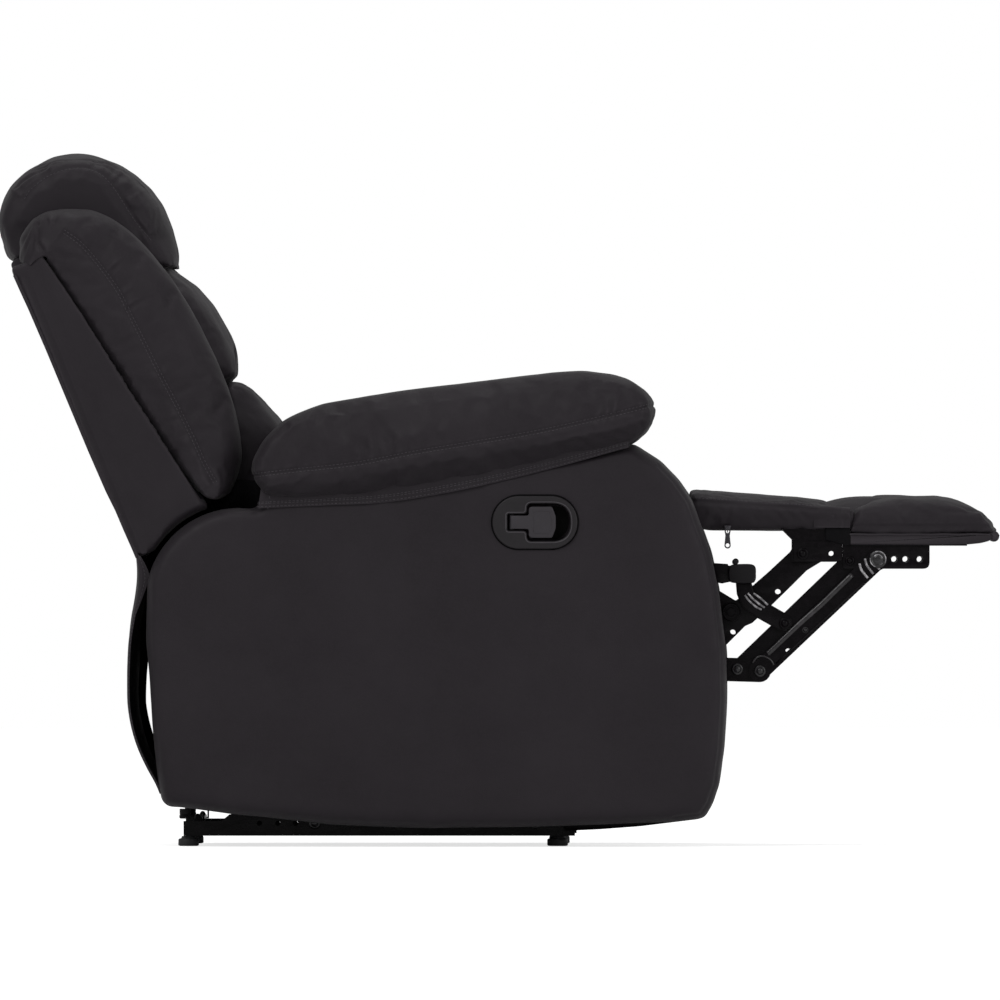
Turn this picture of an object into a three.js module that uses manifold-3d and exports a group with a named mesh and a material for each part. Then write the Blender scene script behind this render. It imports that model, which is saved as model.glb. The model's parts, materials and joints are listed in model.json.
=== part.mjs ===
// Push-back reclining armchair, footrest raised, millimetres, +X forward, +Y to the sitter's left, +Z up
import * as THREE from 'three';
import { mergeVertices } from 'three/addons/utils/BufferGeometryUtils.js';
import Module from 'manifold-3d';

const wasm = await Module();
wasm.setup();

// Gaps and sheet sizes
const fit = 0.3;
const overrun = 2;
const steel = 3;
const plateGap = 1;
const panelGap = 1.5;

// Overall widths, half the chair each
const armInner = 270;
const armOuter = 392;
const padInner = 264;
const padOuter = 432;
const seatHalf = 261;
const rollHalf = 259;
const backHalf = 365;
const wingProud = 7;
const wingOuter = backHalf + wingProud;
const footHalf = 263;
const plateInner = 236;

// Heights
const footHeight = 11;
const railBase = 14;
const railHeight = 29;
const seatFrameTop = 384;
const seatTop = 488;

// Back hinge and its travel
const hinge = { x: -351, z: 329.4 };
const backTilt = 22.15;
const uprightSwing = 4;
const hingeToCorner = { x: 105.3, z: 107 };
const armArc = 127;
const backArc = 133;

// Arm panel and pillow
const armRear = -479.4;
const armDepth = 785.2;
const armBottom = 24.3;
const armHeight = 506.7;
const armBoard = 18;
const armBoardInset = 14;
const padRear = -336;
const padLength = 546;
const padBottom = 472.8;
const padHeight = 167.1;
const panelRound = 16;
const pillowRound = 34;

// Seat
const seatRear = -302;
const seatFront = 247;
const railThick = 20;
const frontRailHeight = 90;
const rearRailHeight = 54;
const springWire = 3.4;
const springAmplitude = 24;
const springPitch = 27;
const springCount = 5;
const springSpacing = 96;
const seatRound = 30;

// Back, measured from its lower rear corner along and across the tilted back
const backHeight = 427;
const backPanelThick = 18;
const sideRound = 8;
const frameRear = 30;
const frameDepth = 36;
const backRailHeight = 40;
const webbing = 3;
const strapWidth = 50;
const rollRound = 26;
const headDrop = 90;
const headHeight = 209.3;
const headDepth = 211.9;
const headBox = { x: -0.6, z: backHeight - headDrop, width: headDepth, height: headHeight };
const wingRise = 52.2;
const wingFoot = 28.9;
const wingDepth = 196.5;
const wingBox = { x: 7.5, z: wingFoot, width: wingDepth, height: backHeight + wingRise - wingFoot };
const wingRound = 38;
const middleFront = 228;
const middleBottom = 171;
const lowerFront = 258;
const curtainBulge = 44;
const curtainHeight = 232;
const curtainThick = 6;

// Footrest linkage, raised
const drive = { x: 150, z: 320 };
const kneeLength = 217.25;
const kneeAngle = -22.67;
const kneeTail = 30.6;
const kneeTailAngle = 174.95;
const kneeHalf = 15;
const longLength = 219.45;
const longAngle = 43.45;
const longHalf = 13;
const innerHalf = 10;
const toggleSpread = 38.05;
const toggleAngle = -177;
const midLength = 186;
const midAngle = 42.14;
const midHalf = 18;
const crossLength = 185.2;
const crossAngle = -20.8;
const crossKnee = 133;
const crossHalf = 9;
const pinRadius = 5;
const pinClear = 0.5;
const headRadius = 8;
const bigHeadRadius = 12;
const rivetHeight = 2.6;
const spacerRadius = 9;
const holeRadius = 3.6;
const driveTube = 25;

// Footrest pads
const footSetback = 40;
const footLength = 201.2;
const footCrown = 64.1;
const bracketRise = 19;
const footBoard = 15.6;
const flapRise = 34;
const flapThick = 46;
const footRound = 20;
const footFlange = 28;

// Base and glide links
const railRear = -427;
const railFront = 101;
const railFlange = 27;
const railStep = { x: 62, height: 20 };
const crossTube = 22;
const glideLength = 120;
const glideAngle = 102;
const frontGlide = { x: 48, z: 31 };
const rearGlide = { x: -250, z: 31 };
const glideHalf = 11;
const footRadius = 14;
const frontFootX = 79;
const rearFootX = -413;

// Release lever on the right arm
const lever = { x: 48, z: 437 };
const bezelLength = 115;
const bezelHeight = 71.5;
const bezelThick = 5;
const cupDepth = 30;
const cupWall = 2.5;
const tongue = { rear: 37, reach: 11.5, half: 11.5 };
const pocket = { rear: 11.5, front: 48, half: 25.7, corner: 20 };
const leverThick = 4;
const leverBarrel = 4;
const leverPlay = 1.4;
const paddleReach = 26;
const crankLength = 15;
const cableRadius = 2.5;
const cableShift = 43;
const cableReach = 138;
const cableDrop = 101;
const latch = { x: 92, z: 306 };
const latchHalf = 7;
const latchTail = 34;
const latchStop = 30;

const pullWidth = 7;
const pullLength = 27;
const pullThick = 2;
const pullX = 307;

const degrees = Math.PI / 180;

// Materials
const finish = (color, roughness, metalness = 0) =>
  new THREE.MeshStandardMaterial({ color, roughness, metalness });
const leather = finish(0x2f2d30, 0.55);
const blackSteel = finish(0x151517, 0.3, 0.8);
const springSteel = finish(0x8d8f92, 0.4, 0.9);
const timber = finish(0xb08a5a, 0.75);
const plywood = finish(0xc09a68, 0.8);
const plastic = finish(0x1b1b1d, 0.5);
const footPlastic = finish(0x3a3a3c, 0.6);
const strap = finish(0x55524c, 0.9);
const cableSheath = finish(0x111112, 0.5);
const nickel = finish(0x77787c, 0.35, 0.9);

// Points in the side view are [x, z]
const polar = (centre, radius, angle) => ({
  x: centre.x + radius * Math.cos(angle * degrees),
  z: centre.z + radius * Math.sin(angle * degrees),
});
const arc = (centre, radius, from, to, steps) =>
  Array.from({ length: steps + 1 }, (_, i) => {
    const p = polar(centre, radius, from + ((to - from) * i) / steps);
    return [p.x, p.z];
  });
const scaled = (shares, box) =>
  shares.map(([u, v, free = 1]) => [box.x + u * box.width, box.z + v * box.height, free]);
const moved = (points, dx, dz) => points.map(([x, z, free]) => [x + dx, z + dz, free]);
const fixed = (points) => points.map(([x, z]) => [x, z, 0]);
const along = (from, to, share) => ({
  x: from.x + (to.x - from.x) * share,
  z: from.z + (to.z - from.z) * share,
});

// Solids
const toSolid = (geometry) => {
  const bare = geometry.clone();
  bare.deleteAttribute('normal');
  bare.deleteAttribute('uv');
  const merged = mergeVertices(bare);
  return new wasm.Manifold(new wasm.Mesh({
    numProp: 3,
    vertProperties: new Float32Array(merged.attributes.position.array),
    triVerts: new Uint32Array(merged.index.array),
  }));
};
const toGeometry = (solid) => {
  const mesh = solid.getMesh();
  const geometry = new THREE.BufferGeometry();
  const positions = new THREE.BufferAttribute(new Float32Array(mesh.vertProperties), 3);
  geometry.setAttribute('position', positions);
  geometry.setIndex(new THREE.BufferAttribute(new Uint32Array(mesh.triVerts), 1));
  return geometry;
};
const join = (...parts) => toGeometry(parts.map(toSolid).reduce((a, b) => a.add(b)));
const cut = (part, ...tools) =>
  toGeometry(tools.map(toSolid).reduce((a, b) => a.subtract(b), toSolid(part)));

// A side-view outline given thickness from y = near to y = far
const slab = (points, near, far) => {
  const shape = new THREE.Shape(points.map(([x, z]) => new THREE.Vector2(x, z)));
  const depth = Math.abs(far - near);
  const geometry = new THREE.ExtrudeGeometry(shape, { depth, bevelEnabled: false });
  return geometry.rotateX(Math.PI / 2).translate(0, Math.max(near, far), 0);
};
const block = (x, y, z) =>
  new THREE.BoxGeometry(x[1] - x[0], y[1] - y[0], z[1] - z[0])
    .translate((x[0] + x[1]) / 2, (y[0] + y[1]) / 2, (z[0] + z[1]) / 2);
const rod = (centre, radius, near, far, sides = 12) =>
  new THREE.CylinderGeometry(radius, radius, Math.abs(far - near), sides)
    .translate(centre.x, (near + far) / 2, centre.z);
const headTaperShare = 0.75;
const rivet = (centre, radius, near, far) =>
  new THREE.CylinderGeometry(radius, radius * headTaperShare, Math.abs(far - near), 14)
    .translate(centre.x, (near + far) / 2, centre.z);
const bar = (from, to, half, near, far) => {
  const heading = Math.atan2(to.z - from.z, to.x - from.x) / degrees;
  return slab([
    ...arc(to, half, heading - 90, heading + 90, 6),
    ...arc(from, half, heading + 90, heading + 270, 6),
  ], near, far);
};
const mirrored = (geometry) => {
  const copy = (geometry.index ? geometry : mergeVertices(geometry)).clone().scale(1, -1, 1);
  const order = copy.index.array;
  for (let i = 0; i < order.length; i += 3) {
    [order[i], order[i + 1]] = [order[i + 1], order[i]];
  }
  return copy;
};

// A stack of equal rings closed at both ends
const stack = (rings) => {
  const count = rings[0].length;
  const points = rings.flat();
  const faces = [];
  for (let r = 0; r + 1 < rings.length; r += 1) {
    for (let i = 0; i < count; i += 1) {
      const a = r * count + i;
      const b = r * count + ((i + 1) % count);
      faces.push(a, b, b + count, a, b + count, a + count);
    }
  }
  const contour = rings[0].map((p) => new THREE.Vector2(p.x, p.z));
  const turned = THREE.ShapeUtils.area(contour) < 0;
  const cap = THREE.ShapeUtils.triangulateShape(contour, []);
  const last = (rings.length - 1) * count;
  cap.forEach(([a, b, c]) => {
    faces.push(...(turned ? [a, b, c] : [a, c, b]));
    faces.push(...(turned ? [a, c, b] : [a, b, c]).map((i) => last + i));
  });
  const geometry = new THREE.BufferGeometry().setFromPoints(points);
  geometry.setIndex(faces);
  return outward(geometry);
};
const outward = (geometry) => {
  const place = geometry.attributes.position;
  const order = geometry.index.array;
  const [a, b, c] = [new THREE.Vector3(), new THREE.Vector3(), new THREE.Vector3()];
  let volume = 0;
  for (let i = 0; i < order.length; i += 3) {
    a.fromBufferAttribute(place, order[i]);
    b.fromBufferAttribute(place, order[i + 1]);
    c.fromBufferAttribute(place, order[i + 2]);
    volume += a.dot(b.cross(c));
  }
  if (volume < 0) {
    for (let i = 0; i < order.length; i += 3) {
      [order[i], order[i + 1]] = [order[i + 1], order[i]];
    }
  }
  return geometry;
};

// A soft form: the outline draws in towards one or both sides, except where a point is fixed
const bothEnds = (steps) => Array.from({ length: steps + 1 }, (_, i) => {
  const angle = Math.PI * (i / steps - 0.5);
  const reach = Math.sign(Math.sin(angle)) * Math.sqrt(Math.abs(Math.sin(angle)));
  return [(1 + reach) / 2, 1 - Math.sqrt(Math.max(0, Math.cos(angle)))];
});
const outerEndShares = [[0, 0], [0.5, 0], [0.8, 0.06], [0.92, 0.28], [0.98, 0.6], [1, 1]];
const soft = (outline, near, far, drawIn, profile) => {
  const xs = outline.map((p) => p[0]);
  const zs = outline.map((p) => p[1]);
  const half = [(Math.max(...xs) - Math.min(...xs)) / 2, (Math.max(...zs) - Math.min(...zs)) / 2];
  const mid = [Math.min(...xs) + half[0], Math.min(...zs) + half[1]];
  return stack(profile.map(([share, inset]) => {
    const y = near + (far - near) * share;
    return outline.map(([x, z, free = 1]) => new THREE.Vector3(
      mid[0] + (x - mid[0]) * (1 - (free * drawIn * inset) / half[0]),
      y,
      mid[1] + (z - mid[1]) * (1 - (free * drawIn * inset) / half[1]),
    ));
  }));
};

// Scene building
const chair = new THREE.Group();
const add = (parent, name, geometry, material) => {
  const mesh = new THREE.Mesh(geometry, material);
  mesh.name = name;
  parent.add(mesh);
  return mesh;
};
const addPair = (parent, name, geometry, material) => {
  add(parent, `right_${name}`, geometry, material);
  add(parent, `left_${name}`, mirrored(geometry), material);
};

// Link plates lie in layers outside the seat plates; the right side is drawn and mirrored
const layer = (n) => {
  const near = -(plateInner + n * (steel + plateGap));
  return [near, near - steel];
};
const holes = (points, radius, [near, far]) =>
  points.map((p) => rod(p, radius, near + overrun, far - overrun, 10));
const pinHoles = (points, span) => holes(points, pinRadius + pinClear, span);
const pin = (centre, from, to, radius = pinRadius) =>
  rod(centre, radius, layer(from)[1] + plateGap, layer(to)[0], 10);
const head = (centre, n, radius = headRadius) =>
  rivet(centre, radius, layer(n)[1] + plateGap, layer(n)[1] - rivetHeight);

// Pivots of the raised footrest, each worked out from the one before it
const knee = polar(drive, kneeLength, kneeAngle);
const kneeEnd = polar(knee, kneeTail, kneeTailAngle);
const toggle = polar(knee, longLength, longAngle);
const toggleEnd = polar(toggle, toggleSpread, toggleAngle);
const midPivotShare = 0.6;
const midPivot = along(drive, knee, midPivotShare);
const flapPivot = polar(midPivot, midLength, midAngle);
const crossPivotShare = 0.421;
const crossPivot = along(kneeEnd, toggleEnd, crossPivotShare);
const crossRoot = polar(crossPivot, -crossLength, crossAngle);
const crossBend = { x: crossRoot.x + crossKnee, z: crossRoot.z };

// Pivots of the glide links
const frontCarry = polar(frontGlide, glideLength, glideAngle);
const rearCarry = polar(rearGlide, glideLength, glideAngle);

// Base
function addBase() {
  const [near, far] = layer(2);
  const top = railBase + railHeight;
  const rail = cut(
    join(
      slab([
        [railRear, railBase], [railFront, railBase], [railFront, top],
        [railRear + railStep.x, top], [railRear + railStep.x - footHeight, railBase + railStep.height],
        [railRear, railBase + railStep.height],
      ], near, far),
      block([railRear, railFront], [far, far + railFlange], [railBase, railBase + steel]),
      rod(frontGlide, pinRadius, far + plateGap, layer(1)[0]),
      rod(rearGlide, pinRadius, far + plateGap, layer(1)[0]),
      rivet(frontGlide, headRadius, far + plateGap, far - rivetHeight),
      rivet(rearGlide, headRadius, far + plateGap, far - rivetHeight),
    ),
    ...holes(railHoleShares.map((share) => ({
      x: railRear + share * (railFront - railRear), z: frontGlide.z,
    })), holeRadius, [near, far]),
  );
  addPair(chair, 'base_rail', rail, blackSteel);
  const tubeBottom = railBase + steel + fit;
  [['front', frontFootX], ['rear', rearFootX]].forEach(([end, x]) => {
    const half = crossTube / 2;
    const reach = -near - fit;
    add(chair, `${end}_base_tube`, block(
      [x - half, x + half], [-reach, reach], [tubeBottom, tubeBottom + crossTube],
    ), blackSteel);
    const tall = railBase - fit;
    addPair(chair, `${end}_foot`, new THREE.CylinderGeometry(footRadius, footRadius, tall, 20)
      .rotateX(Math.PI / 2).translate(x, far + railFlange / 2, tall / 2), footPlastic);
  });
}
const railHoleShares = [0.194, 0.241, 0.286, 0.44, 0.62, 0.74];

// Links that carry the body over the base
function addGlideLinks() {
  const span = layer(1);
  [['front', frontGlide, frontCarry], ['rear', rearGlide, rearCarry]].forEach(([end, low, high]) => {
    const link = cut(
      join(bar(low, high, glideHalf, ...span), pin(high, 1, 0)),
      ...pinHoles([low], span),
    );
    addPair(chair, `${end}_glide_link`, link, blackSteel);
  });
}

// Seat plates, rails and springs
const rearRailX = seatRear + fit;
const rearRailBottom = seatFrameTop - rearRailHeight;
function addSeatFrame() {
  const span = layer(0);
  const plateTop = seatFrameTop - 2 * steel;
  const plate = cut(
    join(
      block([hinge.x + 2 * glideHalf, seatFront - railThick], [span[1], span[0]],
        [seatFrameTop - frontRailHeight, plateTop]),
      bar(hinge, { x: hinge.x + 4 * glideHalf, z: hinge.z }, 1.5 * glideHalf, ...span),
      bar(rearCarry, { x: rearCarry.x, z: hinge.z - glideHalf }, glideHalf + steel, ...span),
      bar(frontCarry, { x: frontCarry.x, z: drive.z }, glideHalf + steel, ...span),
    ),
    block([rearRailX - fit, rearRailX + railThick + fit], [span[1] - overrun, span[0] + overrun],
      [rearRailBottom - fit, plateTop + overrun]),
    ...pinHoles([hinge, rearCarry, frontCarry, drive, crossRoot, latch], span),
  );
  add(chair, 'left_seat_plate', mirrored(plate), blackSteel);
  add(chair, 'right_seat_plate', cut(plate, cableTube(cableRadius + pinClear)), blackSteel);
  const reach = plateInner - fit;
  add(chair, 'front_seat_rail', block([seatFront - railThick - 2 * steel, seatFront - 2 * steel],
    [-reach, reach], [seatFrameTop - frontRailHeight, seatFrameTop]), timber);
  add(chair, 'rear_seat_rail', block([rearRailX, rearRailX + railThick],
    [fit - armInner, armInner - fit], [rearRailBottom, seatFrameTop]), timber);
}
function addSprings() {
  const from = rearRailX + steel;
  const to = seatFront - 3 * steel;
  const turns = Math.floor((to - from) / springPitch);
  const pitch = (to - from) / turns;
  const bottom = seatFrameTop + fit;
  const wire = (centreY) => {
    const edge = Array.from({ length: turns + 1 }, (_, i) =>
      [from + i * pitch, centreY + (i % 2 ? springAmplitude : -springAmplitude)]);
    const shape = new THREE.Shape([
      ...edge.map(([x, y]) => new THREE.Vector2(x, y - springWire)),
      ...edge.reverse().map(([x, y]) => new THREE.Vector2(x, y + springWire)),
    ]);
    return new THREE.ExtrudeGeometry(shape, { depth: springWire, bevelEnabled: false })
      .translate(0, 0, bottom);
  };
  const wires = Array.from({ length: springCount }, (_, i) =>
    wire((i - (springCount - 1) / 2) * springSpacing));
  const reach = ((springCount - 1) / 2) * springSpacing;
  const ties = springTieShares.map((share) => {
    const x = from + share * (to - from);
    return block([x, x + springWire], [-reach, reach], [bottom + fit, bottom + springWire - fit]);
  });
  add(chair, 'seat_springs', join(...wires, ...ties), springSteel);
}
const springTieShares = [0.3, 0.68];

// Arms: the pillow's underside is the arm's top edge
const padBox = { x: padRear, z: padBottom, width: padLength, height: padHeight };
const padUpperShares = [
  [0, 0.16], [0.003, 0.277], [0.029, 0.443], [0.089, 0.609], [0.186, 0.728], [0.308, 0.81],
  [0.487, 0.898], [0.63, 0.952], [0.737, 0.988], [0.823, 1], [0.895, 0.964], [0.952, 0.905],
  [0.988, 0.81], [1, 0.728], [0.995, 0.609], [0.973, 0.491],
];
const padLowerShares = [
  [0.945, 0.419], [0.845, 0.348], [0.702, 0.254], [0.558, 0.16], [0.415, 0.076], [0.272, 0.023],
  [0.129, 0], [0.036, 0.005],
];
const armBox = { x: armRear, z: armBottom, width: armDepth, height: armHeight };
const armFrontShares = [
  [0.885, 0.978], [0.915, 0.93], [0.941, 0.872], [0.973, 0.736], [0.987, 0.633],
  [0.999, 0.464], [1, 0.341], [0.995, 0.211], [0.987, 0.12], [0.975, 0.064], [0.96, 0.028],
];
const armUnderShares = [
  [0.908, 0.019], [0.794, 0.011], [0.596, 0.003], [0.49, 0], [0.319, 0.011], [0.151, 0.039],
  [0.066, 0.057], [0.043, 0.059], [0.032, 0.07],
];
const armRearShares = [[0.026, 0.115], [0.018, 0.223], [0.01, 0.401], [0.004, 0.504]];
const armOutline = [
  ...scaled(armFrontShares, armBox),
  ...scaled(armUnderShares, armBox),
  ...scaled(armRearShares, armBox),
  ...arc(hinge, armArc, 166, 80, 8),
  ...moved(scaled(padLowerShares, padBox).reverse(), 0, -fit),
];
const boundsOf = (outline) =>
  new THREE.Box2().setFromPoints(outline.map(([x, z]) => new THREE.Vector2(x, z)));
const inset = (outline, amount) => {
  const box = boundsOf(outline);
  const mid = box.getCenter(new THREE.Vector2());
  const size = box.getSize(new THREE.Vector2());
  return outline.map(([x, z]) => [
    mid.x + (x - mid.x) * (1 - (2 * amount) / size.x),
    mid.y + (z - mid.y) * (1 - (2 * amount) / size.y),
  ]);
};
function addArms() {
  const boardNear = -armInner;
  const boardFar = boardNear - armBoard;
  const board = inset(armOutline, armBoardInset);
  const frame = slab(board, boardNear, boardFar);
  const cover = cut(
    soft(armOutline, -armInner, -armOuter, panelRound, outerEndShares),
    slab(inset(armOutline, armBoardInset - fit), boardNear + overrun, boardFar - fit),
  );
  add(chair, 'left_arm_frame', mirrored(frame), plywood);
  add(chair, 'right_arm_frame', cut(frame, cableTube(cableRadius + pinClear)), plywood);
  add(chair, 'left_arm_cover', mirrored(cover), leather);
  const cupCut = slab(leverOutline(cupWall + fit), -armOuter - overrun,
    cupBack + fit);
  add(chair, 'right_arm_cover', cut(cover, cupCut, cableTube(cableRadius + pinClear)), leather);
  const pad = soft([...scaled(padUpperShares, padBox), ...scaled(padLowerShares, padBox)],
    -padInner, -padOuter, pillowRound, bothEnds(8));
  addPair(chair, 'arm_pad', pad, leather);
}

// Release lever, its recessed bezel, cable and latch
const bezelFace = -armOuter - fit - bezelThick;
const cupBack = bezelFace + bezelThick + cupDepth;
const leverHinge = { x: lever.x - tongue.rear + leverBarrel + leverPlay, z: lever.z };
function leverOutline(grow) {
  const slotTop = lever.z + tongue.half + grow;
  const slotBottom = lever.z - tongue.half - grow;
  const top = lever.z + pocket.half + grow;
  const bottom = lever.z - pocket.half - grow;
  const step = lever.x - pocket.rear - grow;
  const turn = pocket.corner + grow;
  const front = lever.x + pocket.front + grow - turn;
  return [
    [lever.x - tongue.rear - grow, slotBottom], [step, slotBottom], [step, bottom],
    ...arc({ x: front, z: bottom + turn }, turn, -90, 0, 5),
    ...arc({ x: front, z: top - turn }, turn, 0, 90, 5),
    [step, top], [step, slotTop], [lever.x - tongue.rear - grow, slotTop],
  ];
}
const cableShares = [
  [0, 0, 0], [0, 0.14, 0], [0.07, 0.27, 0.12], [0.23, 0.41, 0.34], [0.42, 0.54, 0.57],
  [0.6, 0.67, 0.71], [0.77, 0.8, 0.78], [0.88, 0.905, 0.81], [0.98, 0.985, 0.89], [1, 1, 1],
];
function cableTube(radius) {
  const start = leverHinge.x + crankLength;
  const route = cableShares.map(([u, v, w]) =>
    [start + u * cableShift, cupBack + fit + v * cableReach, lever.z - w * cableDrop]);
  const curve = new THREE.CatmullRomCurve3(route.map((p) => new THREE.Vector3(...p)));
  const section = new THREE.Shape().absarc(0, 0, radius, 0, 2 * Math.PI);
  return new THREE.ExtrudeGeometry(section,
    { extrudePath: curve, steps: 26, curveSegments: 4, bevelEnabled: false });
}
function addLever() {
  const cupNear = bezelFace + bezelThick;
  const end = bezelHeight / 2;
  const left = { x: lever.x - bezelLength / 2 + end, z: lever.z };
  const right = { x: lever.x + bezelLength / 2 - end, z: lever.z };
  const bezel = cut(
    join(
      slab([...arc(right, end, -90, 90, 12), ...arc(left, end, 90, 270, 12)],
        bezelFace, cupNear),
      slab(leverOutline(cupWall), bezelFace + cupWall, cupBack),
    ),
    slab(leverOutline(0), bezelFace - overrun, cupBack - cupWall),
  );
  add(chair, 'lever_bezel', bezel, plastic);
  const paddleNear = lever.x - pocket.rear + leverPlay;
  const paddleEnd = paddleNear + paddleReach;
  const strip = tongue.half - leverPlay;
  const wide = pocket.half - 3 * leverPlay;
  const bow = { x: paddleEnd - wide, z: lever.z };
  const flap = [
    [leverHinge.x, lever.z - strip], [paddleNear, lever.z - strip], [paddleNear, lever.z - wide],
    [paddleEnd - leverBarrel, lever.z - wide],
    ...arc(bow, wide + leverBarrel, -50, 50, 6),
    [paddleEnd - leverBarrel, lever.z + wide],
    [paddleNear, lever.z + wide], [paddleNear, lever.z + strip], [leverHinge.x, lever.z + strip],
  ];
  const faceY = bezelFace + leverPlay;
  const barrelY = faceY + leverThick + leverBarrel - plateGap;
  const barrel = rod({ x: 0, z: 0 }, leverBarrel, fit - tongue.half, tongue.half - fit, 12)
    .rotateX(Math.PI / 2).translate(leverHinge.x, barrelY, lever.z);
  const crank = block([leverHinge.x - steel / 2, leverHinge.x + steel / 2],
    [barrelY, barrelY + crankLength], [lever.z - steel, lever.z + steel]);
  add(chair, 'release_lever',
    join(slab(flap, faceY, faceY + leverThick), barrel, crank), plastic);
  add(chair, 'release_cable', cableTube(cableRadius), cableSheath);
  const near = -(plateInner - plateGap - steel);
  const pawl = join(
    bar(latch, along(drive, latch, latchStop / Math.hypot(latch.x - drive.x, latch.z - drive.z)),
      latchHalf, near, near - steel),
    bar(latch, { x: latch.x - latchTail / 2, z: latch.z + latchTail / 3 }, latchHalf,
      near, near - steel),
    rod(latch, pinRadius, near - plateGap, layer(0)[1]),
  );
  add(chair, 'footrest_latch', pawl, blackSteel);
}

// Seat cushion: its rear edge follows the arc that the back's lowest roll swings on
const rollSwing = 197;
const seatClear = 4;
const seatBottom = seatFrameTop + fit + springWire + fit;
function addSeatCushion() {
  const reach = rollSwing + seatClear;
  const angleAt = (z) => Math.asin((z - hinge.z) / reach) / degrees;
  const outline = [
    [seatFront - panelGap, seatBottom + seatRound], [seatFront, seatTop - 2 * seatRound],
    [seatFront - seatRound / 3, seatTop - seatRound], [seatFront - seatRound, seatTop - seatRound / 3],
    [seatFront - 3 * seatRound, seatTop], [(seatFront + hinge.x + reach) / 2, seatTop],
    ...arc(hinge, reach, angleAt(seatTop - seatRound / 3), angleAt(seatBottom), 5),
    [seatFront - seatRound, seatBottom], [seatFront - seatRound / 3, seatBottom + seatRound / 3],
  ];
  add(chair, 'seat_cushion',
    soft(outline, -seatHalf, seatHalf, seatRound, bothEnds(10)), leather);
}

// Back, drawn upright in a group that carries its tilt
const back = new THREE.Group();
back.rotation.y = -backTilt * degrees;
const tiltCos = Math.cos(backTilt * degrees);
const tiltSin = Math.sin(backTilt * degrees);
const backHinge = { x: hingeToCorner.x, z: -hingeToCorner.z };
back.position.set(
  hinge.x - hingeToCorner.x * tiltCos - hingeToCorner.z * tiltSin,
  0,
  hinge.z - hingeToCorner.x * tiltSin + hingeToCorner.z * tiltCos,
);
const frameFront = frameRear + frameDepth;
const webFront = frameFront + fit + webbing;
const rollRear = webFront + fit;
const wingSeamShares = [[0.559, 0.019], [0.471, 0.199], [0.369, 0.435], [0.267, 0.67], [0.166, 0.881]];
const wingTopShares = [
  [0.042, 0.881, 0], [0, 0.907, 0.5], [0.05, 0.955], [0.164, 0.991], [0.269, 1], [0.4, 0.986],
  [0.575, 0.949], [0.677, 0.903], [0.753, 0.847], [0.833, 0.759], [0.886, 0.68], [0.916, 0.59],
  [0.946, 0.501], [0.965, 0.397], [0.965, 0.31], [0.955, 0.231], [0.93, 0.158], [0.89, 0.097],
  [0.8, 0.047], [0.72, 0.012, 0.5], [0.626, 0.006, 0],
];
const headShares = [
  [0, 0.452], [0, 0.724], [0.054, 0.82], [0.145, 0.919], [0.29, 0.981], [0.432, 1],
  [0.597, 0.967], [0.697, 0.918], [0.806, 0.817], [0.903, 0.689], [0.97, 0.557], [1, 0.41],
  [0.99, 0.254], [0.948, 0.076], [0.912, 0],
];
function addBackFrame() {
  const near = layer(1)[1] - fit;
  const far = fit - padInner;
  const foot = polar(backHinge, 3 * glideHalf, 125);
  const postTop = backHeight - backRailHeight;
  const post = slab([
    [frameRear, postTop], [frameRear, backRailHeight], [foot.x - glideHalf, foot.z],
    [foot.x + glideHalf, foot.z], [frameFront, backRailHeight], [frameFront, postTop],
  ], near, far);
  const lowest = 3 * backRailHeight + glideHalf + panelGap;
  const railBottoms = backRailShares.map((share) =>
    lowest + share * (postTop - backRailHeight - lowest));
  const rails = railBottoms.map((bottom) => block([frameRear, frameFront],
    [far + overrun, -far - overrun], [bottom, bottom + backRailHeight]));
  add(back, 'back_frame', join(post, mirrored(post), ...rails), timber);
  const straps = railBottoms.map((bottom) => block([frameFront + fit, webFront], [far, -far],
    [bottom, bottom + backRailHeight]));
  const uprights = strapShares.map((share) => {
    const y = share * -far;
    return block([frameFront + fit, webFront], [y - strapWidth / 2, y + strapWidth / 2],
      [backRailHeight, postTop]);
  });
  add(back, 'back_webbing', join(...straps, ...uprights), strap);
  const bracket = join(
    bar(backHinge, { x: foot.x, z: foot.z }, 1.5 * glideHalf, ...layer(1)),
    bar(foot, { x: frameRear + frameDepth / 2, z: 3 * backRailHeight }, glideHalf, ...layer(1)),
    pin(backHinge, 1, 0),
  );
  addPair(back, 'back_bracket', bracket, blackSteel);
}
const backRailShares = [0, 0.5, 1];
const strapShares = [-0.6, 0, 0.6];

function addBackCovers() {
  const seam = scaled(wingSeamShares, wingBox);
  const wingSeat = wingBox.z + wingTopShares[0][1] * wingBox.height;
  const lowest = Math.asin((backHinge.z * -1 - fit) / backArc) / degrees;
  const bottom = arc(backHinge, backArc, 180 - lowest, angleOf(seam[0]), 8);
  const side = [
    [backPanelThick + fit, wingSeat - panelGap], [backPanelThick + fit, 0],
    ...bottom.filter(([x]) => x > backPanelThick + 2 * fit),
    ...fixed(moved(seam, -fit, 0).slice(1, -1)), [seam[4][0] - panelGap, wingSeat - panelGap, 0],
  ];
  addPair(back, 'back_side', soft(side, -padInner, -backHalf, sideRound, outerEndShares), leather);
  const panel = slab([
    [0, 0], [backPanelThick, 0], [backPanelThick, backHeight - sideRound],
    [backPanelThick / 2, backHeight - steel], [0, backHeight - sideRound],
  ], -padInner + panelGap, padInner - panelGap);
  add(back, 'back_panel', join(panel, block([0, backPanelThick], [-backHalf, backHalf],
    [0, backHeight - 2 * sideRound])), leather);
  const wing = [...fixed(seam), ...scaled(wingTopShares, wingBox)];
  addPair(back, 'wing', soft(wing, -padInner, -wingOuter, wingRound, wingEndShares), leather);
}
const wingEndShares = [
  [0, 0.35], [0.05, 0.12], [0.14, 0], [0.5, 0], [0.72, 0.08], [0.87, 0.26], [0.96, 0.55], [1, 1],
];
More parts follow.
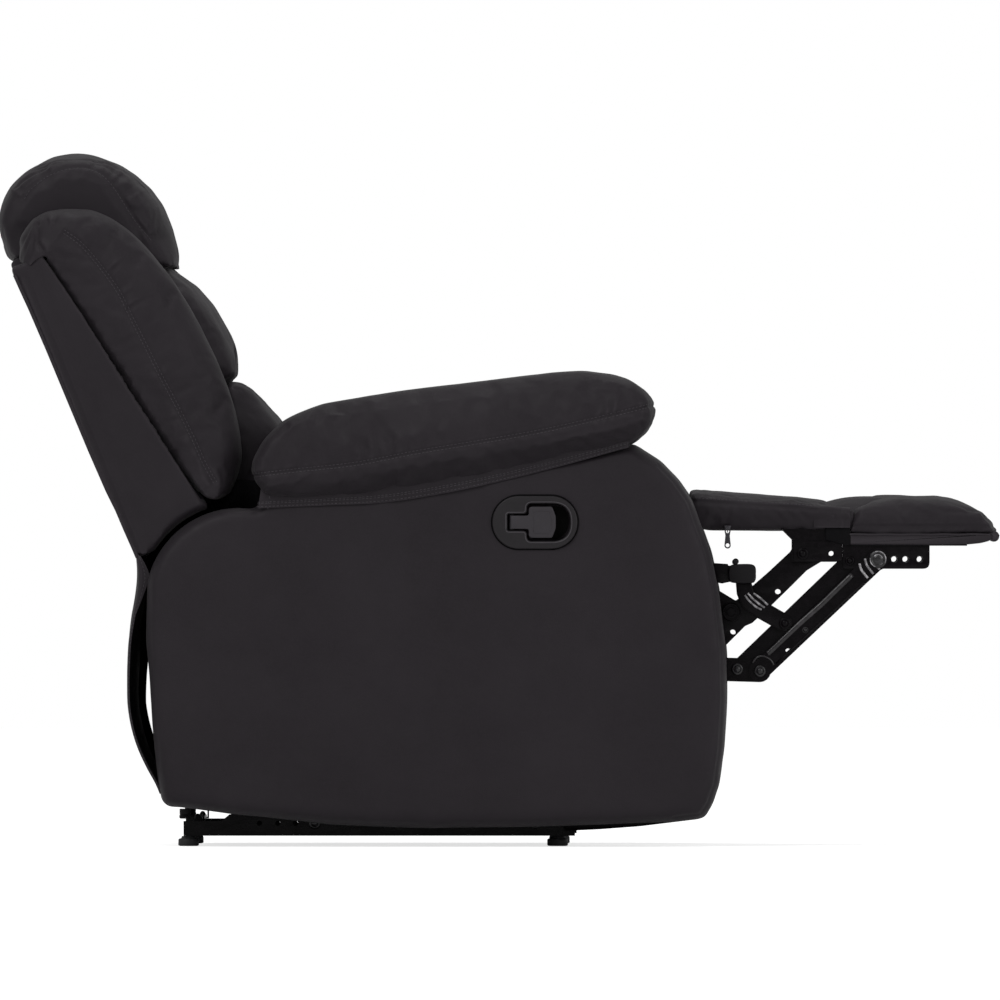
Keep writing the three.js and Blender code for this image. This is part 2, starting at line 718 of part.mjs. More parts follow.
const angleOf = ([x, z]) => Math.atan2(z - backHinge.z, x - backHinge.x) / degrees;

function addRolls() {
  const head = scaled(headShares, headBox);
  const chin = head[head.length - 1];
  const slope = (head[0][1] - chin[1]) / (head[0][0] - chin[0]);
  const under = (x) => chin[1] + (x - chin[0]) * slope - 2 * fit;
  add(back, 'head_roll', soft(head, -rollHalf - steel, rollHalf + steel, rollRound, bothEnds(10)),
    leather);
  const tuck = rollRound / 2;
  const middle = [
    [rollRear, under(rollRear)], [rollRear, middleBottom + panelGap],
    [middleFront - 2 * tuck, middleBottom + panelGap],
    ...scaled(middleShares, {
      x: rollRear, z: middleBottom, width: middleFront - rollRear, height: headBox.z - middleBottom,
    }),
    [chin[0] - 2 * tuck, under(chin[0] - 2 * tuck)],
  ];
  add(back, 'middle_roll', soft(middle, -rollHalf, rollHalf, rollRound, bothEnds(8)), leather);
  const clear = seatBottom + seatClear - hinge.z;
  const sweep = (radius) => Math.asin(clear / radius) / degrees + uprightSwing - backTilt;
  const tip = polar(backHinge, rollSwing, sweep(rollSwing));
  const heel = polar(backHinge, rollSwing / 2, sweep(rollSwing / 2));
  const lower = [
    [rollRear, middleBottom - panelGap], [rollRear, backRailHeight + strapWidth],
    [heel.x - 2 * rollRound, heel.z + rollRound / 2], [heel.x, heel.z], [tip.x, tip.z],
    ...arc(backHinge, rollSwing, sweep(rollSwing) + 4, 41, 4),
    ...scaled(lowerShares, {
      x: rollRear, z: 0, width: lowerFront - rollRear, height: middleBottom,
    }),
    [middleFront - 2 * tuck, middleBottom - panelGap],
  ];
  add(back, 'lower_roll', soft(lower, -rollHalf, rollHalf, rollRound, bothEnds(8)), leather);
}
const middleShares = [
  [0.915, 0.03], [0.965, 0.15], [0.99, 0.38], [0.98, 0.6], [0.935, 0.8], [0.82, 0.955],
];
const lowerShares = [[0.99, 0.26], [0.995, 0.38], [0.96, 0.58], [0.89, 0.78], [0.8, 0.95]];

// Cloth that closes the gap between the back and the arms, hung from the arms' lower rear edge
const curtainShares = [
  [0.14, 1], [0.05, 0.87], [0, 0.62], [0.02, 0.49], [0.125, 0.37], [0.325, 0.26], [0.6, 0.15],
  [0.89, 0],
];
function addCurtain() {
  const seat = scaled(armRearShares, armBox)[0];
  const box = {
    x: seat[0] - fit - curtainThick - curtainBulge * curtainShares.at(-1)[0],
    z: seat[1] - curtainThick / 2, width: curtainBulge, height: curtainHeight,
  };
  const outer = scaled(curtainShares, box);
  const inner = moved(outer, curtainThick, curtainThick / 2).reverse();
  add(chair, 'rear_curtain', slab([...outer, ...inner], -backHalf, backHalf), leather);
}

// Footrest links
function addFootrestLinks() {
  const kneeSpan = layer(3);
  const elbow = { x: kneeEnd.x - 2 * headRadius - 3 * kneeHalf, z: kneeEnd.z };
  const kneeLink = cut(
    join(
      bar(drive, midPivot, kneeHalf, ...kneeSpan), bar(midPivot, elbow, kneeHalf, ...kneeSpan),
      bar(elbow, knee, kneeHalf, ...kneeSpan), rod(drive, spacerRadius, kneeSpan[1] + plateGap,
        layer(0)[1] - fit),
      rod(drive, pinRadius, kneeSpan[0] + plateGap, layer(0)[0]), pin(kneeEnd, 3, 2),
      head(kneeEnd, 3), pin(midPivot, 3, 1), head(midPivot, 3),
    ),
    ...pinHoles([knee], kneeSpan),
  );
  addPair(chair, 'knee_link', kneeLink, blackSteel);
  const half = driveTube / 2;
  const reach = plateInner - fit;
  add(chair, 'drive_tube', block([drive.x - half, drive.x + half], [-reach, reach],
    [drive.z - half, drive.z + half]), blackSteel);
  const longSpan = layer(4);
  const [ribFrom, ribTo] = longRibShares.map((share) => along(knee, toggle, share));
  const longLink = cut(
    join(
      bar(knee, toggle, longHalf, ...longSpan), rod(toggle, kneeHalf, ...longSpan, 18),
      rod(knee, kneeHalf, ...longSpan, 18), pin(knee, 4, 3), pin(toggle, 4, 3), head(knee, 4),
      head(toggle, 4, bigHeadRadius),
      bar(ribFrom, ribTo, longHalf / 2,
        longSpan[1] + plateGap, longSpan[1] - plateGap),
    ),
    ...holes([polar(along(knee, toggle, longHoleShare), longHalf / 2, longAngle - 90)], holeRadius,
      longSpan),
  );
  addPair(chair, 'long_link', longLink, blackSteel);
  const innerSpan = layer(2);
  const innerLink = cut(
    join(bar(kneeEnd, toggleEnd, innerHalf, ...innerSpan),
      rod(crossPivot, pinRadius, innerSpan[1] + plateGap, longSpan[0] + fit, 10)),
    ...pinHoles([kneeEnd], innerSpan),
  );
  addPair(chair, 'inner_link', innerLink, blackSteel);
  const midSpan = layer(1);
  const midLink = cut(
    bar(midPivot, flapPivot, midHalf, ...midSpan),
    ...pinHoles([midPivot, flapPivot], midSpan),
    ...holes(midHoleShares.map((share) => along(midPivot, flapPivot, share)), holeRadius, midSpan),
  );
  addPair(chair, 'mid_link', midLink, blackSteel);
  const crossLink = join(
    bar(crossRoot, crossBend, crossHalf, ...longSpan),
    bar(crossBend, crossPivot, crossHalf, ...longSpan), pin(crossRoot, 4, 0),
    head(crossRoot, 4), head(crossPivot, 4),
  );
  addPair(chair, 'cross_link', crossLink, blackSteel);
}
const midHoleShares = [0.28, 0.72];
const longRibShares = [0.3, 0.72];
const longHoleShare = 0.21;

// Footrest pads and the brackets below them
const footRear = toggle.x - footSetback;
const footBase = toggle.z + bracketRise;
const flapBase = flapPivot.z + flapRise;
function flanged(points, top, rear, front) {
  const span = layer(3);
  return join(
    slab(points, ...span),
    block([rear, front], [span[1], span[1] + footFlange], [top - steel, top]),
  );
}
function addFootrest() {
  const span = layer(3);
  const low = toggleEnd.z - headRadius - steel;
  const front = footRear + footLength * bracketShare;
  const bracket = cut(
    join(flanged([
      [footRear - headRadius, low], [front - steel, low], [front, low + steel], [front, footBase],
      [footRear - headRadius, footBase],
    ], footBase, footRear, front), head(toggleEnd, 3)),
    ...pinHoles([toggle], span),
    ...holes(bracketHoleShares.map((share) =>
      ({ x: toggle.x + share * (front - toggle.x), z: toggle.z })), holeRadius, span),
  );
  addPair(chair, 'foot_bracket', bracket, blackSteel);
  const boardHalf = footHalf - footRound / 2;
  const footFront = footRear + footLength;
  add(chair, 'foot_board', block([footRear + steel, footFront - footRound / 2],
    [-boardHalf, boardHalf], [footBase + fit, footBase + fit + footBoard]), plywood);
  const padBase = footBase + footBoard + 2 * fit;
  const pad = scaled(footShares, {
    x: footRear, z: padBase, width: footLength, height: footBase + footCrown - padBase,
  });
  add(chair, 'foot_cushion', soft(pad, -footHalf, footHalf, footRound, bothEnds(10)), leather);
  const flapRear = seatFront + 5 * panelGap;
  const flapFront = footRear - 3 * panelGap;
  const flapTop = scaled(flapShares, {
    x: flapRear, z: flapBase + fit, width: flapFront - flapRear, height: flapThick,
  });
  add(chair, 'flap_pad', soft(flapTop, -footHalf, footHalf, footRound / 2, bothEnds(8)), leather);
  const midLow = flapPivot.z - headRadius - steel;
  const midFront = toggleEnd.x - headRadius - 3 * steel;
  const midBracket = cut(
    join(flanged([
      [flapPivot.x - kneeHalf, midLow], [midFront, midLow], [midFront, flapBase],
      [flapPivot.x - 2 * kneeHalf, flapBase],
      [flapPivot.x - kneeHalf, flapBase - kneeHalf],
    ], flapBase, flapPivot.x - kneeHalf, midFront), pin(flapPivot, 3, 1), head(flapPivot, 3)),
    ...holes([{ x: midFront - headRadius, z: flapPivot.z }], holeRadius, span),
  );
  addPair(chair, 'flap_bracket', midBracket, blackSteel);
  const outer = -(footHalf - panelGap);
  const pull = cut(
    join(
      block([pullX - pullWidth / 3, pullX + pullWidth / 3], [outer, outer + pullThick],
        [flapBase - pullLength + pullWidth / 2, flapBase - pullWidth / 2]),
      rod({ x: pullX, z: flapBase - pullWidth / 2 }, pullWidth / 2, outer, outer + pullThick),
      rod({ x: pullX, z: flapBase - pullLength + pullWidth / 2 }, pullWidth / 2, outer,
        outer + pullThick),
    ),
    rod({ x: pullX, z: flapBase - pullWidth / 2 }, pullWidth / 4, outer - overrun,
      outer + pullThick + overrun, 10),
    rod({ x: pullX, z: flapBase - pullLength + pullWidth / 2 }, pullWidth / 4, outer - overrun,
      outer + pullThick + overrun, 10),
  );
  add(chair, 'zip_pull', pull, nickel);
}
const bracketHoleShares = [0.32, 0.53, 0.8];
const bracketShare = 0.575;
const footShares = [
  [0, 0, 0], [0, 0.55], [0.03, 0.74], [0.15, 0.9], [0.35, 1], [0.58, 1], [0.75, 0.86], [0.92, 0.5],
  [1, 0.12], [0.985, 0, 0],
];
const flapShares = [
  [0, 0, 0], [0, 0.86], [0.05, 1], [0.19, 1], [0.44, 0.93], [0.7, 0.85], [0.89, 0.7], [1, 0.42],
  [0.99, 0.08], [0.9, 0, 0],
];

addBase();
addGlideLinks();
addSeatFrame();
addSprings();
addArms();
addLever();
addSeatCushion();
addBackFrame();
addBackCovers();
addRolls();
addCurtain();
addFootrestLinks();
addFootrest();
chair.add(back);

export default chair;
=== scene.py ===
import itertools
import json
import math

import bmesh
import bpy
import numpy as np
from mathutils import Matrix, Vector
from mathutils.bvhtree import BVHTree

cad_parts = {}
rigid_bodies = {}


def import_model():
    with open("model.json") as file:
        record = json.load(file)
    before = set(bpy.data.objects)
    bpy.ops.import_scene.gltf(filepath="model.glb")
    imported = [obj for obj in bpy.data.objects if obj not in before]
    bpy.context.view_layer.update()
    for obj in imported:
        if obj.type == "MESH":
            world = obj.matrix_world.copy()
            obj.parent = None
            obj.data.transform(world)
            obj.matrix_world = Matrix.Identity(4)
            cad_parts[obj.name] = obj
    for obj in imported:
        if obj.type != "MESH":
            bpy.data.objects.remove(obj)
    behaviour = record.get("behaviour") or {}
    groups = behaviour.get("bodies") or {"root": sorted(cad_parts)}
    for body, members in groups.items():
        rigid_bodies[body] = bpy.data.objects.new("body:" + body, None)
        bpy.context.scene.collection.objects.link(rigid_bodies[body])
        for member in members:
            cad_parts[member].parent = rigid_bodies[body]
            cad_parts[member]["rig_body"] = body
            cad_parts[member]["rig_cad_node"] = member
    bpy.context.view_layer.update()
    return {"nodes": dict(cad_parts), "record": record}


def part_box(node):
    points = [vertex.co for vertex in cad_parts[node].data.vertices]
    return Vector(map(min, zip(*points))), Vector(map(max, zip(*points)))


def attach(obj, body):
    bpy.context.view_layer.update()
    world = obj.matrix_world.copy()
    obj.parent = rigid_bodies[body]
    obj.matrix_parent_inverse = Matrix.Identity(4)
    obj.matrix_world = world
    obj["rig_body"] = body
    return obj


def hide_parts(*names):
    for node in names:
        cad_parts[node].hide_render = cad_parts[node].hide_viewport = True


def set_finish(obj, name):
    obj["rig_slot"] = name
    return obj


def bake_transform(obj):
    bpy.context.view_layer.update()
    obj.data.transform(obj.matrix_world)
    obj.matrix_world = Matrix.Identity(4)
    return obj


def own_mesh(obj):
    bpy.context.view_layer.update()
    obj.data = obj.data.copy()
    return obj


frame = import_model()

scene = bpy.context.scene
scene.view_settings.view_transform = "Standard"
nodes = frame["nodes"]

# Camera and room
photo_width = 1.35
eye_height = 0.467
eye_distance = 60.0
eye_side = 0.4
sensor = 18.0
sharp_plane = 0.2

# Leather pieces, in metres unless a count
voxel = 0.006
node_weld = 1e-5
plate_weld = 1e-6
cloth_frames = 20
thread_radius = 0.00038
stitch_length = 0.0036
stitch_pitch = 0.0052
seam_half = 0.0022
held_reach = 0.006
welt_radius = 0.0026
outward = (0.0, -1.0, 0.0)


def srgb(red, green, blue):
    """A colour given as it looks on screen, 0 to 255, as the linear values that shaders take."""
    def linear(value):
        value /= 255
        return value / 12.92 if value <= 0.04045 else ((value + 0.055) / 1.055) ** 2.4
    return (linear(red), linear(green), linear(blue), 1.0)


# Camera, lights and floor
def make_camera():
    data = bpy.data.cameras.new("camera")
    data.sensor_width = sensor
    data.lens = sensor * (eye_distance - sharp_plane) / photo_width
    data.clip_end = 200
    camera = bpy.data.objects.new("camera", data)
    camera.location = (eye_side, -eye_distance, eye_height)
    camera.rotation_euler = (math.pi / 2, 0, math.atan2(eye_side, eye_distance - 0.25))
    scene.collection.objects.link(camera)
    scene.camera = camera


def make_lamp(name, place, target, size, power):
    data = bpy.data.lights.new(name, "AREA")
    data.shape = "RECTANGLE"
    data.size, data.size_y = size
    data.energy = power
    lamp = bpy.data.objects.new(name, data)
    lamp.location = place
    lamp.visible_camera = False
    lamp.rotation_mode = "QUATERNION"
    lamp.rotation_quaternion = (Vector(target) - Vector(place)).to_track_quat("-Z", "Y")
    scene.collection.objects.link(lamp)


def feed(tree, socket, value):
    """Links another node's socket to an input, or sets the input's value."""
    if isinstance(value, bpy.types.NodeSocket):
        tree.links.new(value, socket)
    else:
        socket.default_value = value


def add_node(tree, kind, *values, **named):
    """A shader node with its inputs fed in order, then by name."""
    node = tree.nodes.new("ShaderNode" + kind)
    for socket, value in zip(node.inputs, values):
        feed(tree, socket, value)
    for name, value in named.items():
        feed(tree, node.inputs[name.replace("_", " ")], value)
    return node


def make_world():
    """Soft white light, and a plain white room where the camera or a clear surface sees it."""
    world = bpy.data.worlds.new("studio")
    scene.world = world
    world.use_nodes = True
    tree = world.node_tree
    tree.nodes.clear()
    soft = add_node(tree, "Background", (1, 1, 1, 1), 0.4)
    seen = add_node(tree, "Background", (1, 1, 1, 1), 1.0)
    path = add_node(tree, "LightPath")
    either = add_node(tree, "Math", path.outputs["Is Camera Ray"], path.outputs["Is Transmission Ray"])
    either.operation = "MAXIMUM"
    mix = add_node(tree, "MixShader", either.outputs[0], soft.outputs[0], seen.outputs[0])
    add_node(tree, "OutputWorld", mix.outputs[0])


def make_floor():
    """A pale floor that the camera sees a little brighter than it is lit, with the object's shadow."""
    half = 30
    mesh = bpy.data.meshes.new("floor")
    mesh.from_pydata([(-half, -half, 0), (half, -half, 0), (half, half, 0), (-half, half, 0)],
                     [], [(0, 1, 2, 3)])
    floor = bpy.data.objects.new("floor", mesh)
    scene.collection.objects.link(floor)
    material = bpy.data.materials.new("floor")
    material.use_nodes = True
    tree = material.node_tree
    shader = tree.nodes["Principled BSDF"]
    shader.inputs["Base Color"].default_value = (0.92, 0.92, 0.92, 1)
    shader.inputs["Roughness"].default_value = 0.9
    glow = add_node(tree, "Emission", Strength=0.7)
    both = add_node(tree, "AddShader", shader.outputs[0], glow.outputs[0])
    path = add_node(tree, "LightPath")
    lift = add_node(tree, "MixShader", path.outputs["Is Camera Ray"], shader.outputs[0], both.outputs[0])
    feed(tree, tree.nodes["Material Output"].inputs["Surface"], lift.outputs[0])
    mesh.materials.append(material)


# Materials
class Finish:
    """A material's node tree with short ways to add noise, ramps and bumps in object space."""

    def __init__(self, name, colour=None, roughness=None, metallic=0.0, **inputs):
        self.material = bpy.data.materials.new(name)
        self.material.use_nodes = True
        self.tree = self.material.node_tree
        self.shader = self.tree.nodes["Principled BSDF"]
        for socket, value in {"Metallic": metallic, **inputs}.items():
            self.shader.inputs[socket.replace("_", " ")].default_value = value
        self.place = self.tree.nodes.new("ShaderNodeTexCoord").outputs["Object"]
        self.colour, self.roughness = colour, roughness
        self.height = None

    def stretch(self, scale):
        return add_node(self.tree, "Mapping", Vector=self.place, Scale=scale).outputs["Vector"]

    def noise(self, scale, detail=3.0, rough=0.5, place=None):
        node = add_node(self.tree, "TexNoise", Vector=place or self.place, Scale=scale, Detail=detail,
                        Roughness=rough)
        return node.outputs["Fac"]

    def cells(self, scale, feature="DISTANCE_TO_EDGE", place=None):
        node = add_node(self.tree, "TexVoronoi", Vector=place or self.place, Scale=scale)
        node.feature = feature
        return node.outputs["Distance"]

    def math(self, operation, first, second):
        node = add_node(self.tree, "Math", first, second)
        node.operation = operation
        return node.outputs[0]

    def spread(self, value, low, high, from_low=0.0, from_high=1.0):
        node = add_node(self.tree, "MapRange", Value=value, From_Min=from_low, From_Max=from_high,
                        To_Min=low, To_Max=high)
        return node.outputs["Result"]

    def blend(self, factor, first, second):
        node = add_node(self.tree, "Mix")
        node.data_type = "RGBA"
        for at, value in (("Factor", factor), (6, first), (7, second)):
            feed(self.tree, node.inputs[at], value)
        return node.outputs[2]

    def wear_and_sheen(self, low, high):
        """Edges and ridges, where a coat wears and where a highlight is painted."""
        node = add_node(self.tree, "NewGeometry")
        return self.spread(node.outputs["Pointiness"], 0, 1, low, high)

    def bump(self, value, strength, depth):
        node = add_node(self.tree, "Bump", Strength=strength, Distance=depth, Height=value)
        if self.height is not None:
            feed(self.tree, node.inputs["Normal"], self.height)
        self.height = node.outputs["Normal"]

    def done(self):
        feed(self.tree, self.shader.inputs["Base Color"], self.colour)
        feed(self.tree, self.shader.inputs["Roughness"], self.roughness)
        if self.height is not None:
            feed(self.tree, self.shader.inputs["Normal"], self.height)
        return self.material


def leather_finish():
    f = Finish("black_leather", Specular_IOR_Level=0.16, Sheen_Weight=0.03, Sheen_Roughness=0.45)
    deep, mid, pale = srgb(31, 27, 31), srgb(37, 33, 37), srgb(60, 56, 60)
    clouds = f.spread(f.noise(7, 4, 0.6), 0, 1, 0.3, 0.7)
    fine = f.spread(f.noise(260, 3, 0.6), 0, 0.4, 0.35, 0.75)
    body = f.blend(clouds, deep, mid)
    body = f.blend(fine, body, mid)
    # Edges and ridges blend towards the pale tone: partly wear, partly a painted highlight.
    f.colour = f.blend(f.math("MULTIPLY", f.wear_and_sheen(0.51, 0.58), 0.5), body, pale)
    f.roughness = f.spread(f.noise(40, 4, 0.6), 0.5, 0.66, 0.25, 0.75)
    f.bump(f.spread(f.noise(18, 5, 0.6), 0, 1), 0.25, 0.004)
    f.bump(f.spread(f.cells(620), 0, 1, 0.0, 0.35), 0.16, 0.0004)
    f.bump(f.noise(1900, 2, 0.5), 0.1, 0.0002)
    return f.done()


def backing_finish():
    f = Finish("backing_cloth", roughness=0.85, Specular_IOR_Level=0.08)
    weave = f.math("ADD", f.cells(900, "F1"), f.noise(300))
    f.colour = f.blend(f.spread(weave, 0, 1, 0.4, 1.4), srgb(8, 8, 9), srgb(16, 15, 17))
    f.bump(weave, 0.3, 0.0005)
    return f.done()


def thread_finish():
    f = Finish("thread", roughness=0.6, Specular_IOR_Level=0.2)
    f.colour = f.blend(f.noise(400), srgb(58, 55, 59), srgb(78, 75, 79))
    f.bump(f.noise(2600, 2), 0.3, 0.0002)
    return f.done()


def steel_finish(name, shine, deep, pale):
    f = Finish(name, Specular_IOR_Level=shine, Coat_Weight=0.03, Coat_Roughness=0.12)
    f.colour = f.blend(f.spread(f.noise(120, 5, 0.6), 0, 1, 0.45, 0.75), deep, pale)
    smears = f.noise(30, 5, 0.65, f.stretch((1, 1, 4)))
    f.roughness = f.spread(smears, 0.16, 0.36, 0.3, 0.7)
    f.bump(f.noise(55, 4), 0.12, 0.0012)
    f.bump(f.noise(700, 2), 0.08, 0.0003)
    return f.done()


def bare_steel_finish(name, dark, light):
    f = Finish(name, metallic=0.9)
    f.colour = f.blend(f.noise(160, 4), dark, light)
    f.roughness = f.spread(f.noise(400, 3), 0.25, 0.5, 0.3, 0.7)
    f.bump(f.noise(900, 2), 0.1, 0.0003)
    return f.done()


def wood_finish(name, dark, light, along):
    f = Finish(name)
    grain = f.noise(14, 6, 0.65, f.stretch(along))
    rings = f.noise(60, 4, 0.6, f.stretch(along))
    f.colour = f.blend(f.spread(grain, 0, 1, 0.3, 0.7), dark, light)
    f.roughness = f.spread(rings, 0.55, 0.8)
    f.bump(rings, 0.25, 0.001)
    return f.done()


def plastic_finish(name, dark, light, grain, shine=0.28):
    f = Finish(name, Specular_IOR_Level=shine)
    f.colour = f.blend(f.noise(30, 3), dark, light)
    f.roughness = f.spread(f.noise(grain / 3, 3), 0.38, 0.55)
    f.bump(f.noise(grain, 2, 0.6), 0.3, 0.0003)
    return f.done()


def webbing_finish():
    f = Finish("webbing", roughness=0.85)
    ribs = f.math("ADD", f.cells(420, "F1", f.stretch((1, 2.5, 1))), f.noise(200))
    f.colour = f.blend(f.spread(ribs, 0, 1, 0.3, 1.2), srgb(52, 49, 44), srgb(96, 90, 80))
    f.bump(ribs, 0.4, 0.0008)
    return f.done()


moulding, pad_grain = 1500, 900

leather = leather_finish()
backing = backing_finish()
thread = thread_finish()
enamel = steel_finish("black_enamel", 0.09, srgb(6, 4, 6), srgb(15, 12, 15))
# Near-white enamel for beads on the links: painted highlights where the steel bends.
glint_enamel = steel_finish("worn_enamel", 0.8, srgb(96, 94, 97), srgb(205, 203, 206))
# Lighter copy of the black enamel for rivets and hole rims: a painted highlight.
rivet_enamel = steel_finish("rivet_enamel", 0.5, srgb(12, 11, 13), srgb(40, 38, 42))
# Lighter copy of the black enamel for ridges: a painted highlight along them.
rib_enamel = steel_finish("rib_enamel", 0.5, srgb(20, 17, 20), srgb(50, 46, 50))
spring_steel = bare_steel_finish("spring_steel", srgb(110, 112, 116), srgb(168, 170, 174))
nickel = bare_steel_finish("nickel", srgb(96, 97, 102), srgb(150, 151, 156))
zip_metal = bare_steel_finish("zip_metal", srgb(44, 43, 46), srgb(86, 84, 88))
timber = wood_finish("timber", srgb(150, 114, 70), srgb(196, 160, 112), (9, 1, 9))
plywood = wood_finish("plywood", srgb(164, 124, 78), srgb(206, 172, 122), (1, 6, 7))
lever_plastic = plastic_finish("lever_plastic", srgb(21, 18, 21), srgb(27, 24, 27), moulding)
paddle_plastic = plastic_finish("paddle_plastic", srgb(42, 39, 43), srgb(50, 47, 51), moulding)
# Paler plastic for thin beads on the bezel: a painted highlight on its rounded rims.
rim_plastic = plastic_finish("rim_plastic", srgb(52, 49, 53), srgb(72, 69, 73), moulding)
# Near-black plastic for the lever's recess and the line round the bezel: painted shade.
recess_plastic = plastic_finish("recess_plastic", srgb(4, 4, 5), srgb(8, 7, 8), moulding, 0.06)
foot_plastic = plastic_finish("foot_plastic", srgb(44, 44, 46), srgb(62, 62, 64), pad_grain)
rubber = plastic_finish("rubber", srgb(14, 12, 14), srgb(24, 22, 25), 1100, 0.16)
strap = webbing_finish()
sheath = plastic_finish("cable_sheath", srgb(16, 16, 17), srgb(24, 24, 25), 700)

slot_finish = {
    "leather": leather, "black_steel": enamel, "spring_steel": spring_steel, "timber": timber,
    "plywood": plywood, "lever_plastic": lever_plastic, "foot_plastic": foot_plastic,
    "webbing": strap, "cable_sheath": sheath, "nickel": nickel,
}


# Meshes
def new_object(name, mesh):
    piece = bpy.data.objects.new(name, mesh)
    scene.collection.objects.link(piece)
    return piece


def points_of(mesh):
    flat = np.empty(len(mesh.vertices) * 3)
    mesh.vertices.foreach_get("co", flat)
    return flat.reshape(-1, 3)


def normals_of(mesh):
    flat = np.empty(len(mesh.vertices) * 3)
    mesh.vertex_normals.foreach_get("vector", flat)
    return flat.reshape(-1, 3)


def move_points(mesh, points):
    mesh.vertices.foreach_set("co", np.ascontiguousarray(points, dtype=np.float32).ravel())
    mesh.update()


def ends_of(mesh):
    """The two vertices of every edge, one after the other."""
    ends = np.empty(len(mesh.edges) * 2, int)
    mesh.edges.foreach_get("vertices", ends)
    return ends


def worked(meshes, weld=0.0):
    """Meshes joined in one bmesh, with points closer than weld merged."""
    work = bmesh.new()
    for mesh in meshes:
        work.from_mesh(mesh)
    if weld:
        bmesh.ops.remove_doubles(work, verts=work.verts, dist=weld)
    return work


def turned_out(mesh, weld=0.0):
    """Turns every face outwards."""
    work = worked([mesh], weld)
    bmesh.ops.recalc_face_normals(work, faces=work.faces)
    work.to_mesh(mesh)
    work.free()


def unit(vectors):
    return vectors / np.maximum(np.linalg.norm(vectors, axis=1, keepdims=True), 1e-9)


def tiled(direction, count):
    return np.tile(np.array(direction, float), (count, 1))


def smooth(t):
    """An eased step from 0 to 1."""
    t = np.clip(t, 0, 1)
    return t * t * (3 - 2 * t)


def smooth_out(mesh, rounds, hold=None):
    """Rounds off facets and keeps the volume, by steps in and nearly as far out again."""
    points = points_of(mesh)
    free = 1 if hold is None else 1 - hold(points)[:, None]
    ends = ends_of(mesh)
    a, b = ends.reshape(-1, 2).T
    count = np.bincount(ends, minlength=len(points))[:, None]
    for factor in [0.55, -0.57] * rounds:
        total = np.stack([np.bincount(a, points[b, i], len(points))
                          + np.bincount(b, points[a, i], len(points)) for i in range(3)], axis=1)
        points = points + factor * free * (total / count - points)
    move_points(mesh, points)


def settle(piece):
    """Applies every modifier of a piece."""
    graph = bpy.context.evaluated_depsgraph_get()
    mesh = bpy.data.meshes.new_from_object(piece.evaluated_get(graph))
    piece.modifiers.clear()
    piece.data = mesh


def shaded(piece, material):
    piece.data.materials.clear()
    piece.data.materials.append(material)
    piece.data.shade_smooth()


def dress(piece, body, material, slot=None):
    shaded(piece, material)
    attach(piece, body)
    if slot:
        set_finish(piece, slot)
    return piece


def in_leather(piece, body):
    return dress(piece, body, leather, "leather")


def crisp(piece, body, material, slot=None, angle=35):
    """Dresses a piece and keeps its edges that are sharper than an angle in degrees."""
    dress(piece, body, material, slot)
    piece.data.set_sharp_from_angle(angle=math.radians(angle))
    return piece


def noise(points, size, seed=0):
    """Smooth random values from -1 to 1, with lumps of about size metres along each axis."""
    place = points / np.asarray(size) + seed * 17.31
    base = np.floor(place).astype(np.int64)
    part = place - base
    part = part * part * part * (part * (part * 6 - 15) + 10)
    total = np.zeros(len(points))
    for corner in itertools.product((0, 1), repeat=3):
        cell = base + corner
        mixed = (cell[:, 0] * 73856093) ^ (cell[:, 1] * 19349663) ^ (cell[:, 2] * 83492791)
        mixed = (mixed ^ (mixed >> 13)) * 1274126177
        value = ((mixed ^ (mixed >> 16)) & 0xFFFF) / 32767.5 - 1
        total += value * np.prod(np.where(corner, part, 1 - part), axis=1)
    return total


# Side-view curves are arrays of x, z in metres
def on_photo(x, y):
    """A spot in the side view, in metres, from the picture plane's own measure."""
    return ((x - 500) * photo_width / 1000, (846 - y) * photo_width / 1000)


def spots(*rows):
    """Spots of the side view, in metres."""
    return [on_photo(*row) for row in rows]


def arc(x, z, radius, angles):
    return [(x + radius * math.cos(a), z + radius * math.sin(a)) for a in angles]


def ring_of(x, z, radius, steps=24):
    return arc(x, z, radius, np.linspace(0, 2 * math.pi, steps, endpoint=False))


def at_depth(line, y):
    """A side-view line as points in space, at one y or at a y for each."""
    return np.stack([line[:, 0], np.full(len(line), y), line[:, 1]], axis=1)


def headings(line):
    """The direction in which a line runs at each point."""
    return unit(np.gradient(line, axis=0))


def on_box(node, shares):
    """Side-view points given as shares of a CAD node's box."""
    low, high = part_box(node)
    return [(low.x + u * (high.x - low.x), low.z + v * (high.z - low.z)) for u, v in shares]


def flowing(points, steps=6):
    """A smooth curve through points, by Catmull-Rom."""
    p = np.array([points[0], *points, points[-1]], float)
    p[0] = 2 * p[1] - p[2]
    p[-1] = 2 * p[-2] - p[-3]
    out = []
    for a, b, c, d in zip(p, p[1:], p[2:], p[3:]):
        for t in np.arange(steps) / steps:
            out.append(0.5 * (2 * b + (c - a) * t + (2 * a - 5 * b + 4 * c - d) * t * t
                              + (3 * b - a - 3 * c + d) * t ** 3))
    return np.array([*out, p[-2]])


def corner_curve(points, radii, steps=6):
    """A closed outline with its corners rounded to the given radii."""
    out = []
    count = len(points)
    for i, (p, r) in enumerate(zip(points, radii)):
        p, a, b = np.array(p), np.array(points[i - 1]), np.array(points[(i + 1) % count])
        if not r:
            out.append(tuple(p))
            continue
        u, v = (a - p) / np.linalg.norm(a - p), (b - p) / np.linalg.norm(b - p)
        half = math.acos(float(np.clip(u @ v, -1, 1))) / 2
        reach = min(r / math.tan(half), 0.49 * np.linalg.norm(a - p), 0.49 * np.linalg.norm(b - p))
        start, end = p + u * reach, p + v * reach
        for t in np.linspace(0, 1, steps):
            out.append(tuple((1 - t) ** 2 * start + 2 * t * (1 - t) * p + t * t * end))
    return out


